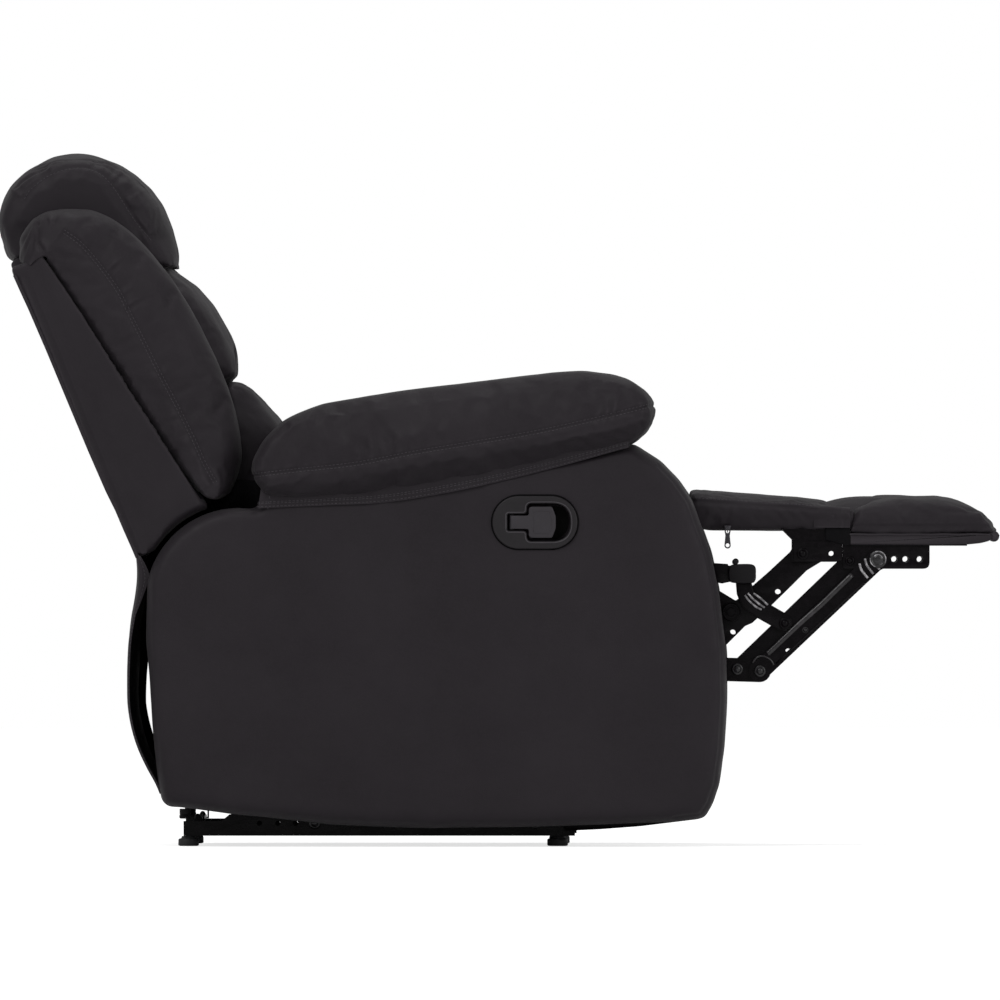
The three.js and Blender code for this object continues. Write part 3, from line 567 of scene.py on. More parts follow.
def grown(loop, by):
    """An outline moved outwards by a distance, or inwards if it is negative."""
    p = np.array(loop)
    area = np.sum(p[:, 0] * np.roll(p[:, 1], -1) - np.roll(p[:, 0], -1) * p[:, 1])
    d = unit(np.roll(p, -1, axis=0) - np.roll(p, 1, axis=0))
    out = np.stack([d[:, 1], -d[:, 0]], axis=1) * (1 if area > 0 else -1)
    return [tuple(q) for q in p + out * by]


def from_curve(points, curve):
    """How far each point lies from a side-view curve, positive to its left, and how far along."""
    p = points[:, (0, 2)]
    nearest = np.full(len(p), np.inf)
    off, run = np.zeros(len(p)), np.zeros(len(p))
    passed = 0.0
    for a, b in zip(curve, curve[1:]):
        d = b - a
        length = max(math.hypot(*d), 1e-9)
        share = np.clip(((p - a) @ d) / length ** 2, 0, 1)
        gap = p - (a + share[:, None] * d)
        distance = np.hypot(gap[:, 0], gap[:, 1])
        closer = distance < nearest
        side = np.where(d[0] * gap[:, 1] - d[1] * gap[:, 0] >= 0, 1, -1)
        off[closer] = (side * distance)[closer]
        run[closer] = (passed + share * length)[closer]
        nearest[closer] = distance[closer]
        passed += length
    return off, run, passed


def walk(seed, links, left):
    """A chain of linked items from a seed, each one taken from those left."""
    chain = [seed]
    left.discard(seed)
    while ahead := [item for item in links[chain[-1]] if item in left]:
        chain.append(ahead[0])
        left.discard(ahead[0])
    return chain


def section(node, y):
    """The closed side-view outline where a plane of constant y cuts a CAD node."""
    work = worked([nodes[node].data], node_weld)
    cut = bmesh.ops.bisect_plane(work, geom=[*work.verts, *work.edges, *work.faces],
                                 plane_co=(0, y, 0), plane_no=(0, 1, 0))["geom_cut"]
    links = {}
    for edge in (e for e in cut if isinstance(e, bmesh.types.BMEdge)):
        a, b = edge.verts
        links.setdefault(a, []).append(b)
        links.setdefault(b, []).append(a)
    loops = []
    left = set(links)
    while left:
        loop = walk(min(left, key=lambda v: (v.co.x, v.co.z)), links, left)
        loops.append(np.array([(v.co.x, v.co.z) for v in loop]))
    work.free()
    return max(loops, key=len)


# Seams: a measure gives each point's distance from the seam, its run along it, and if it's near
def side_seam(curve, where=None, inset=None):
    """A seam along a side-view curve, or all round it at an inset."""
    def measure(points):
        off, run, length = from_curve(points, curve)
        near = (run > 1e-6) & (run < length - 1e-6)
        return (off if inset is None else np.abs(off) - inset, run,
                near if where is None else near & where(points))
    return measure


def stretch_of(outline, keep):
    """The longest unbroken run of a closed outline's points that keep(x, z) accepts."""
    kept = [keep(x, z) for x, z in outline]
    first = next(i for i in range(len(kept)) if kept[i] and not kept[i - 1])
    turned = np.roll(np.arange(len(kept)), -first)
    runs, run = [], []
    for i in turned:
        if kept[i]:
            run.append(outline[i])
        elif run:
            runs.append(run)
            run = []
    runs.append(run)
    return np.array(max(runs, key=len))


def flat_seam(axis, place, where=None):
    others = [i for i in range(3) if i != axis]

    def measure(points):
        run = points[:, others[0]] + points[:, others[1]]
        near = np.ones(len(points), bool)
        return points[:, axis] - place, run, near if where is None else near & where(points)
    return measure


def seam_lines(mesh, measure, offset=0.0):
    """Chains of points and normals where a seam, moved sideways by offset, crosses a mesh."""
    points, normals = points_of(mesh), normals_of(mesh)
    off, _, near = measure(points)
    off = off - offset
    a, b = ends_of(mesh).reshape(-1, 2).T
    crossed = near[a] & near[b] & (np.sign(off[a]) != np.sign(off[b]))
    crossed &= np.abs(off[a] - off[b]) < 0.02
    share = np.zeros(len(a))
    share[crossed] = off[a][crossed] / (off[a] - off[b])[crossed]
    place, facing = {}, {}
    for e in np.nonzero(crossed)[0]:
        t = share[e]
        place[e] = points[a[e]] * (1 - t) + points[b[e]] * t
        facing[e] = normals[a[e]] * (1 - t) + normals[b[e]] * t
    links = {e: [] for e in place}
    loop_edges = np.empty(len(mesh.loops), int)
    mesh.loops.foreach_get("edge_index", loop_edges)
    starts = np.empty(len(mesh.polygons), int)
    sizes = np.empty(len(mesh.polygons), int)
    mesh.polygons.foreach_get("loop_start", starts)
    mesh.polygons.foreach_get("loop_total", sizes)
    hit = crossed[loop_edges]
    counts = np.add.reduceat(hit, starts)
    for f in np.nonzero(counts == 2)[0]:
        own = loop_edges[starts[f]:starts[f] + sizes[f]]
        u, v = [e for e in own if crossed[e]]
        links[u].append(v)
        links[v].append(u)
    chains, left = [], set(place)
    for seeds in ([e for e in links if len(links[e]) == 1], list(links)):
        for seed in seeds:
            if seed not in left:
                continue
            chain = walk(seed, links, left)
            if len(chain) > 4:
                if chain[0] in links[chain[-1]] and len(chain) > 8:
                    chain.append(chain[0])
                chains.append((np.array([place[e] for e in chain]),
                               np.array([facing[e] for e in chain])))
    return chains


def evenly(chain, pitch):
    """A chain's points and normals, smoothed and spaced evenly."""
    points, normals = chain
    for _ in range(3):
        points = np.vstack([points[:1], (points[:-2] + 2 * points[1:-1] + points[2:]) / 4, points[-1:]])
    step = np.linalg.norm(np.diff(points, axis=0), axis=1)
    run = np.concatenate([[0], np.cumsum(step)])
    count = max(int(run[-1] / pitch), 1)
    marks = np.linspace(0, run[-1], count + 1)
    place, facing = (np.stack([np.interp(marks, run, values[:, i]) for i in range(3)], axis=1)
                     for values in (points, normals))
    return place, unit(facing)


def skin(base, rings, count):
    """Faces over equal rings of corners that start at base, with both ends closed."""
    faces = []
    for r in range(rings - 1):
        a, b = base + r * count, base + (r + 1) * count
        faces.extend((a + i, a + (i + 1) % count, b + (i + 1) % count, b + i) for i in range(count))
    faces.append(tuple(base + i for i in reversed(range(count))))
    faces.append(tuple(base + (rings - 1) * count + i for i in range(count)))
    return faces


def from_faces(name, corners, faces):
    mesh = bpy.data.meshes.new(name)
    mesh.from_pydata([tuple(c) for c in corners], [], faces)
    return new_object(name, mesh)


def stitches(name, chains):
    """Rows of short threads along chains, as one mesh."""
    lift, sides = 0.0001, 5
    turn = np.linspace(0, 2 * math.pi, sides, endpoint=False)
    # Shares of a stitch's length, width and height from one end to the other
    shape = [(-0.5, 0.35, -0.6), (-0.32, 1.0, 0.1), (0.0, 1.0, 0.35), (0.32, 1.0, 0.1), (0.5, 0.35, -0.6)]
    corners, faces = [], []
    for chain in chains:
        place, facing = evenly(chain, stitch_pitch)
        if len(place) < 2:
            continue
        heading = headings(place)
        across = np.cross(facing, heading)
        for p, n, t, s in zip(place, facing, heading, across):
            faces.extend(skin(len(corners), len(shape), sides))
            for share, wide, high in shape:
                centre = p + t * share * stitch_length + n * (lift + high * thread_radius)
                corners.extend(centre + wide * thread_radius * (s * math.cos(a) + n * math.sin(a))
                               for a in turn)
    return from_faces(name, corners, faces)


def tube(name, lines, radius, sides=8):
    """Round piping along lines of points and normals, as one mesh with closed ends."""
    corners, faces = [], []
    turn = np.linspace(0, 2 * math.pi, sides, endpoint=False)
    for place, facing in lines:
        heading = headings(place)
        across = unit(np.cross(facing, heading))
        up = np.cross(heading, across)
        faces.extend(skin(len(corners), len(place), sides))
        for p, s, n in zip(place, across, up):
            corners.extend(p + radius * (s * math.cos(a) + n * math.sin(a)) for a in turn)
    return from_faces(name, corners, faces)


# Soft pieces
class Seam:
    """One sewn line: its measure, groove, gathers and stitch rows."""

    def __init__(self, measure, depth, width, rows=(), gather=0.0, reach=0.03, pitch=0.016, side=0):
        self.measure, self.depth, self.width, self.rows = measure, depth, width, rows
        self.gather, self.reach, self.pitch, self.side = gather, reach, pitch, side

    def hold(self, points):
        off, _, near = self.measure(points)
        return np.exp(-(off / held_reach) ** 2) * near

    def shape(self, points, seed):
        off, run, near = self.measure(points)
        groove = -self.depth * np.exp(-(off / self.width) ** 2)
        if self.gather:
            at = np.stack([run, np.zeros(len(run)), np.abs(off) * 0.2], axis=1)
            fold = noise(at, self.pitch, seed) + 0.5 * noise(at, self.pitch * 0.45, seed + 3)
            fade = np.exp(-np.abs(off) / self.reach) * (1 - np.exp(-(off / 0.003) ** 2))
            if self.side:
                fade = np.where(off * self.side > 0, fade, fade * 0.25)
            groove += self.gather * fold * fade
        return np.where(near, groove, 0)


class Soft:
    """A padded piece grown from its CAD node's solid."""

    def __init__(self, name, node, body, seams=(), grain=voxel, draw=0.003, cap=0.009, pressure=4.0,
                 rounding=8, lumps=0.0012, limit_y=None, sim=True, fill=0.7, seed=0, also=(), square=None,
                 dents=(), stretch=None):
        self.name, self.node, self.body, self.seams = name, node, body, seams
        self.grain, self.draw, self.cap, self.pressure = grain, draw, cap, pressure
        self.rounding, self.lumps, self.limit_y, self.sim, self.fill = rounding, lumps, limit_y, sim, fill
        self.seed, self.also, self.square, self.dents, self.stretch = seed, also, square, dents, stretch
        self.start()

    def start(self):
        mesh = bpy.data.meshes.new(self.name)
        work = worked([nodes[node].data for node in (self.node, *self.also)], node_weld)
        work.to_mesh(mesh)
        work.free()
        self.piece = new_object(self.name, mesh)
        even = self.piece.modifiers.new("even", "REMESH")
        even.mode = "VOXEL"
        even.voxel_size = self.grain
        settle(self.piece)
        mesh = self.piece.data
        smooth_out(mesh, self.rounding, self.square)
        self.rest = points_of(mesh) - normals_of(mesh) * self.draw
        if self.stretch:
            self.rest += self.stretch(self.rest)
        move_points(mesh, self.rest)

    def begin_cloth(self):
        held = np.zeros(len(self.rest))
        for seam in self.seams:
            held = np.maximum(held, seam.hold(self.rest))
        if self.square:
            held = np.maximum(held, self.square(self.rest))
        group = self.piece.vertex_groups.new(name="held")
        for i in np.nonzero(held > 0.05)[0]:
            group.add([int(i)], float(held[i]), "REPLACE")
        cloth = self.piece.modifiers.new("cloth", "CLOTH")
        how = cloth.settings
        how.quality = 5
        how.mass = 0.25
        how.tension_stiffness = how.compression_stiffness = 12
        how.shear_stiffness = 6
        how.bending_stiffness = 0.6
        how.shrink_min = -0.02
        how.use_pressure = True
        how.uniform_pressure_force = self.pressure
        how.effector_weights.gravity = 0
        how.vertex_group_mass = "held"
        cloth.collision_settings.use_collision = False
        cloth.point_cache.frame_start, cloth.point_cache.frame_end = 1, cloth_frames

    def end_cloth(self):
        graph = bpy.context.evaluated_depsgraph_get()
        blown = points_of(self.piece.evaluated_get(graph).data)
        self.piece.modifiers.clear()
        self.piece.vertex_groups.clear()
        step = blown - self.rest
        length = np.linalg.norm(step, axis=1, keepdims=True)
        kept = self.cap * np.tanh(length / self.cap)
        move_points(self.piece.data, self.rest + step * kept / np.maximum(length, 1e-9))

    def finish(self):
        finer = self.piece.modifiers.new("finer", "SUBSURF")
        finer.levels = finer.render_levels = 1
        settle(self.piece)
        mesh = self.piece.data
        points, normals = points_of(mesh), normals_of(mesh)
        rise = (self.lumps * noise(points, 0.11, self.seed)
                + self.lumps * 0.35 * noise(points, 0.035, self.seed + 5))
        for i, seam in enumerate(self.seams):
            rise += seam.shape(points, self.seed + 11 * i)
        for x, z, angle, length, width, depth in self.dents:
            c, n = math.cos(math.radians(angle)), math.sin(math.radians(angle))
            along = (points[:, 0] - x) * c + (points[:, 2] - z) * n
            aside = (points[:, 2] - z) * c - (points[:, 0] - x) * n
            bend = aside + 0.0015 * noise(points, 0.03, 7)
            mark = np.exp(-(along / length) ** 2) * (np.exp(-(bend / width) ** 2) - 0.6 * np.exp(
                -((bend - 2.2 * width) / (1.4 * width)) ** 2))
            rise -= depth * mark * (points[:, 1] < -0.3)
        points = points + normals * rise[:, None]
        if self.limit_y:
            points[:, 1] = np.clip(points[:, 1], *self.limit_y)
        move_points(mesh, points)
        in_leather(self.piece, self.body)
        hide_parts(self.node, *self.also)
        rows = [chain for seam in self.seams for offset in seam.rows
                for chain in seam_lines(mesh, seam.measure, offset)]
        if rows:
            dress(stitches(f"{self.name}_stitching", rows), self.body, thread)


def swept(name, rings):
    """A closed skin over equal rings of points, in order."""
    piece = from_faces(name, [p for ring in rings for p in ring], skin(0, len(rings), len(rings[0])))
    turned_out(piece.data)
    return piece


def soften(piece, width, angle=30):
    """Bevels the edges that are sharper than an angle in degrees."""
    edge = piece.modifiers.new("edge", "BEVEL")
    edge.width, edge.segments, edge.limit_method = width, 2, "ANGLE"
    edge.angle_limit = math.radians(angle)


def plate(name, outline, near, far, bevel=0.0004):
    """A flat plate of a side-view outline between two y values, with softened edges."""
    rings = [[(x, y, z) for x, z in outline] for y in (near, far)]
    piece = swept(name, rings)
    if bevel:
        soften(piece, bevel, 40)
        settle(piece)
    return piece


def ribbon(grid, normals, thick):
    """Rings for swept(): each row of a grid of points becomes a closed loop thick metres deep."""
    return [np.vstack([row + n * thick / 2, (row - n * thick / 2)[::-1]])
            for row, n in zip(grid, normals)]


def left_of(name):
    return name.replace("right_", "left_")


def right_pair(piece):
    """Mirrors one right-hand piece to the left."""
    mirror(piece, left_of(piece.name))


def crisp_pair(piece, body, material):
    """A dressed right-hand piece with crisp creases, mirrored to the left."""
    right_pair(crisp(piece, body, material))


def steel_pair(piece, body, node):
    """A steel plate in place of its right-hand node, and its twin in place of the left-hand one."""
    crisp(piece, body, enamel, "black_steel")
    mirror(piece, left_of(piece.name), left_of(node))
    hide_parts(node)


def mirror(piece, name, node=None):
    """The same piece on the chair's other side."""
    mesh = piece.data.copy()
    points = points_of(mesh)
    points[:, 1] *= -1
    move_points(mesh, points)
    mesh.flip_normals()
    other = new_object(name, mesh)
    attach(other, piece["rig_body"])
    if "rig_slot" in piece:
        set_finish(other, piece["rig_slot"])
    if node:
        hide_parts(node)
    return other


def pair(soft):
    """Finishes a right-hand soft piece and mirrors it, with its trim, to the left."""
    soft.finish()
    own_pieces = [o for o in scene.objects if o.name.startswith(soft.name) and "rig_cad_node" not in o]
    for piece in own_pieces:
        own = piece.name == soft.name
        mirror(piece, left_of(piece.name), left_of(soft.node) if own else None)


# Where the seams run, as shares of the pieces' side views
pad_seam_shares = [(-0.05, 0.145), (0, 0.16), (0.118, 0.205), (0.263, 0.257), (0.408, 0.347),
                   (0.553, 0.425), (0.698, 0.506), (0.843, 0.608), (0.988, 0.727), (1.04, 0.76)]
wing_seam_shares = [(0.199, 0.923), (0.287, 0.872), (0.385, 0.782), (0.453, 0.707), (0.511, 0.617),
                    (0.57, 0.528), (0.629, 0.438), (0.707, 0.326), (0.785, 0.207), (0.834, 0.124),
                    (0.883, 0.058)]
head_seam_shares = [(0.13, 0.62), (0.166, 0.701), (0.279, 0.822), (0.426, 0.881), (0.549, 0.847),
                    (0.636, 0.739), (0.733, 0.522), (0.783, 0.414), (0.857, 0.286)]
flap_seam_shares = [(-0.05, 0.8), (0.039, 0.799), (0.264, 0.74), (0.521, 0.667), (0.779, 0.579),
                    (1.03, 0.46)]

# How far the pads' tops rise or sink, as x and distance
pad_crown = [(-0.27, -0.001), (-0.243, -0.0027), (-0.216, -0.0052), (-0.189, -0.0075), (-0.162, -0.0088),
             (0.054, -0.0088), (0.081, -0.0068), (0.108, -0.0054), (0.135, -0.004), (0.162, -0.0013),
             (0.189, 0.0025), (0.2025, 0.0035)]

# Where the rolls' fronts stand, and how far they move so that they hang towards their lower edges: z, x, move
roll_fronts = {
    "head_roll": [(0.775, -0.437, 0.0075), (0.786, -0.437, 0.003), (0.794, -0.438, 0),
                  (0.802, -0.439, -0.0027), (0.818, -0.4415, -0.0068), (0.834, -0.4455, -0.0088),
                  (0.8505, -0.451, -0.0105),
                  (0.875, -0.463, -0.0108), (0.891, -0.4766, -0.0095), (0.907, -0.494, -0.0055),
                  (0.918, -0.51, -0.002)],
    "middle_roll": [(0.626, -0.354, 0.01), (0.632, -0.355, 0.0105), (0.64, -0.3555, 0.0068),
                    (0.648, -0.356, 0.004), (0.656, -0.3575, 0.0013), (0.664, -0.3605, -0.0013),
                    (0.672, -0.363, -0.0038),
                    (0.689, -0.3685, -0.0078), (0.705, -0.375, -0.0097), (0.721, -0.384, -0.0112),
                    (0.737, -0.3956, -0.0135), (0.753, -0.411, -0.016), (0.77, -0.4307, -0.0135)],
    "lower_roll": [(0.43, -0.26, -0.005), (0.49, -0.27, -0.008), (0.53, -0.275, -0.012),
                   (0.575, -0.296, -0.0145), (0.583, -0.304, -0.0145), (0.591, -0.312, -0.0135),
                   (0.599, -0.32, -0.0108),
                   (0.6075, -0.328, -0.0078), (0.6156, -0.336, -0.0038), (0.624, -0.347, 0.0024),
                   (0.63, -0.352, 0.0024)],
}

# How far the head roll's rear hangs out below its crown, as z and distance
head_rear = [(0.77, 0.002), (0.786, 0.005), (0.797, 0.0095), (0.805, 0.0095), (0.8127, 0.008),
             (0.8235, 0.0078), (0.8343, 0.0068), (0.8451, 0.005), (0.8559, 0.003), (0.8667, 0.0018), (0.88, 0)]

# How far the back's rear edge stands out behind its solid, as z and distance
rear_push = [(0.4, 0), (0.427, 0.001), (0.4536, 0.0015), (0.48, 0.0038), (0.535, 0.0054), (0.589, 0.006),
             (0.67, 0.0068), (0.7236, 0.0081), (0.7506, 0.0095), (0.7776, 0.0106), (0.8, 0.0098),
             (0.835, 0.004)]


def creases(*rows):
    """Dents from rows of x, y, angle, length, width in the side view's measure, and depth in mm."""
    mm = photo_width / 1000
    return [(*on_photo(x, y), angle, length * mm, width * mm, depth / 1000)
            for x, y, angle, length, width, depth in rows]


def add_arm_pads():
    node = "right_arm_pad"
    side = flowing(on_box(node, pad_seam_shares))
    seam = Seam(side_seam(side), depth=0.0026, width=0.0035, rows=(seam_half, -seam_half),
                gather=0.0007, reach=0.02, pitch=0.018)

    def undercut(p):
        off = from_curve(p, side)[0]
        under = smooth((-off - 0.014) / 0.03)
        front = under * np.clip((p[:, 0] + 0.03) / 0.12, 0, 1)
        crown = np.interp(p[:, 0], *zip(*pad_crown)) * smooth((off - 0.008) / 0.03)
        inwards = 0.02 * under * smooth((-p[:, 1] - 0.33) / 0.05)
        return np.stack([0 * under, inwards, 0.0045 * front + crown], axis=1)

    folds = creases((352, 455, 84, 9, 3, 1.0), (366, 452, 86, 12, 3, 1.6), (379, 451, 92, 14, 3, 1.8),
                    (393, 449, 95, 12, 3, 1.5), (408, 446, 84, 11, 3, 1.3), (425, 444, 88, 9, 3, 0.8),
                    (604, 414, 80, 9, 2, 1.6), (611, 411, 84, 11, 2, 2.0), (619, 410, 76, 9, 2, 1.5),
                    (298, 470, 60, 12, 4, 1.4), (312, 480, 70, 10, 4, 1.0), (268, 468, 50, 10, 4, 1.2))
    return Soft("right_arm_pillow", node, "body", [seam], grain=0.0055, cap=0.011, rounding=6,
                draw=0.002, lumps=0.0009, seed=1, fill=0.8, dents=folds, stretch=undercut)


def add_arm_cover(hand):
    outline = section("left_arm_cover", 0.33)
    front = stretch_of(outline, lambda x, z: x > 0.2 and 0.03 < z < 0.53)
    outer = lambda p: np.abs(p[:, 1]) > 0.36
    seam = Seam(side_seam(front, outer, 0.0055), depth=0.0015, width=0.0024)
    return Soft(f"{hand}_arm_skin", f"{hand}_arm_cover", "body", [seam], draw=0.0, rounding=10,
                lumps=0.0009, sim=False, seed=2, fill=0.9)


def add_wings():
    node = "right_wing"
    curve = flowing(on_box(node, wing_seam_shares))
    outer = lambda p: p[:, 1] < -0.33
    seam = Seam(side_seam(curve, outer), depth=0.0022, width=0.0035, rows=(seam_half, -seam_half),
                gather=0.0019, reach=0.032, pitch=0.026, side=-1)

    def ear(p):
        down = np.clip((0.806 - p[:, 2]) / 0.014, 0, 1) * np.clip((-0.612 - p[:, 0]) / 0.01, 0, 1)
        return down[:, None] * (-0.004, 0, -0.009)
    folds = creases((117, 268, 42, 9, 2, 2.2), (136, 306, 30, 11, 2, 2.2), (128, 296, 34, 8, 2, 1.2),
                    (150, 300, 36, 8, 3, 1.0), (88, 250, 50, 7, 2, 1.0), (212, 482, 120, 8, 2, 2.0),
                    (206, 470, 100, 8, 2, 1.2), (176, 420, 20, 9, 3, 0.9), (163, 380, 24, 9, 3, 0.8),
                    (27, 240, 66, 13, 1.6, 2.3), (31.5, 240, 73, 12, 1.6, 2.5), (35.5, 240, 81, 11, 1.6, 2.3),
                    (39.5, 232, 92, 9, 1.8, 2.4), (43, 248, -56, 8, 2, 2.6), (56, 221, 60, 4, 2.4, 2.4),
                    (49, 222, 80, 3, 2, 1.6), (40, 224, 50, 3, 2, 1.6))
    return Soft("right_wing_pillow", node, "back", [seam], grain=0.0055, cap=0.011, rounding=6,
                draw=0.002, lumps=0.0011, seed=3, fill=0.8, dents=folds, stretch=ear)


wing_crease = [(46.6, 254.7), (62, 276), (78, 300), (101, 336), (126, 377), (151, 416), (179, 459),
               (206, 498)]
lean = math.radians(22.15)
back_up = Vector((-math.sin(lean), 0, math.cos(lean)))


def rear_edge(outline):
    """The back's rear edge, from its lowest point to its rearmost."""
    return np.array([outline[np.argmin(outline[:, 1])], outline[np.argmin(outline[:, 0])]])


def add_back_cover():
    outline = section("back_panel", -0.3)
    edge = rear_edge(outline)
    outer = lambda p: np.abs(p[:, 1]) > 0.34
    piped = Seam(side_seam(edge, outer, 0.0052), depth=0.0022, width=0.0022)
    crease = flowing(spots(*wing_crease))
    tuck = Seam(side_seam(crease, outer), depth=0.0075, width=0.0034)
    u = np.array(back_up)
    rise = outline[:, 0] * u[0] + outline[:, 1] * u[2]

    def to_head(points):
        near = np.clip((points @ u - rise.max() + 0.016) / 0.008, 0, 1) * (points[:, 0] < -0.59)
        rear = 1 - smooth(np.abs(from_curve(points, edge)[0]) / 0.03)
        push = np.interp(points[:, 2], *zip(*rear_push)) * rear
        return near[:, None] * u * 0.011 - push[:, None] * (1, 0, 0)
    return Soft("back_cover", "back_panel", "back", [piped, tuck], also=("right_back_side", "left_back_side"),
                grain=0.005, draw=0.0, rounding=4, lumps=0.0006, sim=False, seed=4, fill=0.9,
                stretch=to_head)


def add_back_piping():
    """Piping up the back's two rear corners, from the skirt to the head roll."""
    ends = rear_edge(section("back_panel", -0.3))
    share = np.linspace(0, 1, 90)[:, None]
    line = ends[0] * (1 - share) + ends[1] * share + (0.0014, 0.0006)
    line[:, 0] -= np.interp(line[:, 1], *zip(*rear_push))
    place = at_depth(line, -0.3628)
    place[:, 1] += 0.0004 * noise(place, 0.04, 91)
    piping = tube("right_back_piping", [(place, tiled((-0.7, -0.7, 0.0), 90))], welt_radius, 12)
    right_pair(in_leather(piping, "back"))


def hung(node, p):
    """How a roll's front moves at each height."""
    z, front, move = zip(*roll_fronts[node])
    ahead = smooth((p[:, 0] - np.interp(p[:, 2], z, front) + 0.055) / 0.04)
    return np.stack([np.interp(p[:, 2], z, move) * ahead, 0 * ahead, 0 * ahead], axis=1)


def add_head_roll():
    node = "head_roll"
    low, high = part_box(node)
    curve = flowing(on_box(node, head_seam_shares))
    ends = lambda p: np.abs(p[:, 1]) > high.y - 0.06
    seam = Seam(side_seam(curve, ends), depth=0.0018, width=0.003, rows=(-0.002,),
                gather=0.0042, reach=0.04, pitch=0.013, side=1)
    square = lambda p: np.clip((low.z + 0.06 - p[:, 2]) / 0.04, 0, 0.95) * (p[:, 0] < low.x + 0.12)

    def settled(p):
        rear = np.clip((-0.6 - p[:, 0]) / 0.05, 0, 1)
        top = np.clip((p[:, 2] - 0.85) / 0.06, 0, 1)
        back = np.interp(p[:, 2], *zip(*head_rear)) * smooth((-0.59 - p[:, 0]) / 0.03)
        return np.stack([-0.0035 * rear - back, 0 * rear, -0.004 * top], axis=1) + hung(node, p)
    return Soft("head_pillow", node, "back", [seam], cap=0.009, lumps=0.002, seed=5, draw=0.001,
                rounding=6, square=square, stretch=settled,
                limit_y=(low.y - 0.002, high.y + 0.002), fill=0.75)


def add_roll(node, seed):
    low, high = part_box(node)
    lower = node == "lower_roll"
    foot = (lambda p: np.clip((0.452 - p[:, 2]) / 0.03, 0, 1)) if lower else None

    def settled(p):
        if lower:
            near = 0.0112 * np.exp(-((p[:, 0] + 0.356) / 0.017) ** 2) * smooth((p[:, 2] - 0.57) / 0.03)
        else:
            near = 0.0065 * smooth((-0.427 - p[:, 0]) / 0.012) * smooth((p[:, 2] - 0.745) / 0.02)
        return near[:, None] * (0, 0, 1) + hung(node, p)
    return Soft(node.replace("roll", "pillow"), node, "back", cap=0.011, lumps=0.0014, seed=seed, square=foot,
                stretch=settled, limit_y=(low.y - 0.002, high.y + 0.002), fill=0.75)


def add_seat():
    node = "seat_cushion"
    low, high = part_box(node)
    top = lambda p: p[:, 2] > (low.z + high.z) / 2
    front = Seam(flat_seam(0, high.x - 0.09, top), depth=0.005, width=0.006,
                 rows=(seam_half, -seam_half), gather=0.0016, reach=0.04, pitch=0.03)
    rear = lambda p: np.clip((low.x + 0.05 - p[:, 0]) / 0.03, 0, 1)
    return Soft("seat_pillow", node, "body", [front], cap=0.013, lumps=0.002, seed=8, square=rear,
                limit_y=(low.y - 0.004, high.y + 0.004), fill=0.7)


def tilt(y, z):
    """How far the footrest pads' boxed sides lean in towards the bottom."""
    return 0.005 * np.sign(y) * np.clip((0.456 - z) / 0.027, 0, 1) * smooth((np.abs(y) - 0.22) / 0.03)


def add_footrest_pads():
    flap = "flap_pad"
    low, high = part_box(flap)
    curve = flowing(on_box(flap, flap_seam_shares))
    sides = lambda p: np.abs(p[:, 1]) > high.y - 0.05
    piping = Seam(side_seam(curve, sides), depth=0.002, width=0.003, rows=(0.004,),
                  gather=0.0008, reach=0.02, pitch=0.02)
    foot = "foot_cushion"
    low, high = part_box(foot)
    under = low.z + 0.009
    band = Seam(flat_seam(2, under), depth=0.0022, width=0.003, gather=0.001,
                reach=0.02, pitch=0.02)
    wide = lambda p: 1 - smooth((np.abs(p[:, 1]) - 0.11) / 0.11)

    def flap_crown(p):
        move = np.zeros_like(p)
        move[:, 2] = 0.0038 * smooth((p[:, 0] - 0.4) / 0.05) * wide(p) * smooth((p[:, 2] - 0.438) / 0.01)
        rear = 0.002 * smooth((0.34 - p[:, 0]) / 0.07) + np.interp(p[:, 0], (0.245, 0.2565, 0.27, 0.285),
                                                                  (0.011, 0.0085, 0.003, 0))
        move[:, 2] += rear * smooth((p[:, 2] - 0.44) / 0.02)
        move[:, 1] = -tilt(p[:, 1], p[:, 2])
        return move

    def foot_crown(p):
        move = np.zeros_like(p)
        move[:, 2] = 0.006 * smooth((0.555 - p[:, 0]) / 0.07) * wide(p) * smooth((p[:, 2] - 0.44) / 0.012)
        move[:, 2] += (0.0035 * np.exp(-((p[:, 0] - 0.648) / 0.014) ** 2) - 0.0022 * np.exp(
            -((p[:, 0] - 0.56) / 0.05) ** 2)) * smooth((p[:, 2] - 0.436) / 0.01)
        move[:, 1] = -0.6 * tilt(p[:, 1], p[:, 2]) - 0.004 * np.sign(p[:, 1]) * smooth(
            (0.4283 - p[:, 2]) / 0.003) * (np.abs(p[:, 1]) > 0.24)
        return move

    def flap_ends(p):
        return np.clip((np.abs(p[:, 0] - 0.36) - 0.085) / 0.01, 0, 0.9)

    def foot_heel(p):
        heel = np.clip((low.x + 0.016 - p[:, 0]) / 0.01, 0, 0.9) * (p[:, 2] < low.z + 0.03)
        return np.maximum(heel, np.clip((low.z + 0.006 - p[:, 2]) / 0.003, 0, 0.95))
    return [Soft("flap_pillow", flap, "flap", [piping], grain=0.0042, draw=0.0, cap=0.0028, lumps=0.0012,
                 seed=9, rounding=3, square=flap_ends, stretch=flap_crown, fill=0.7),
            Soft("foot_pillow", foot, "ottoman", [band], grain=0.0042, draw=0.0, cap=0.0048,
                 lumps=0.0014, seed=10, rounding=3, square=foot_heel, stretch=foot_crown, fill=0.75)]


# Sewn flange that hangs from the arm pad over the arm's side
flange_top = [(263, 484), (330, 480), (388, 473), (446, 463), (504, 452), (562, 439), (627, 427)]
flange_low = [(259.5, 508.4), (328, 505.5), (386.7, 502.5), (445.4, 493.4), (504, 480.8), (562.7, 466),
              (629, 447.6)]


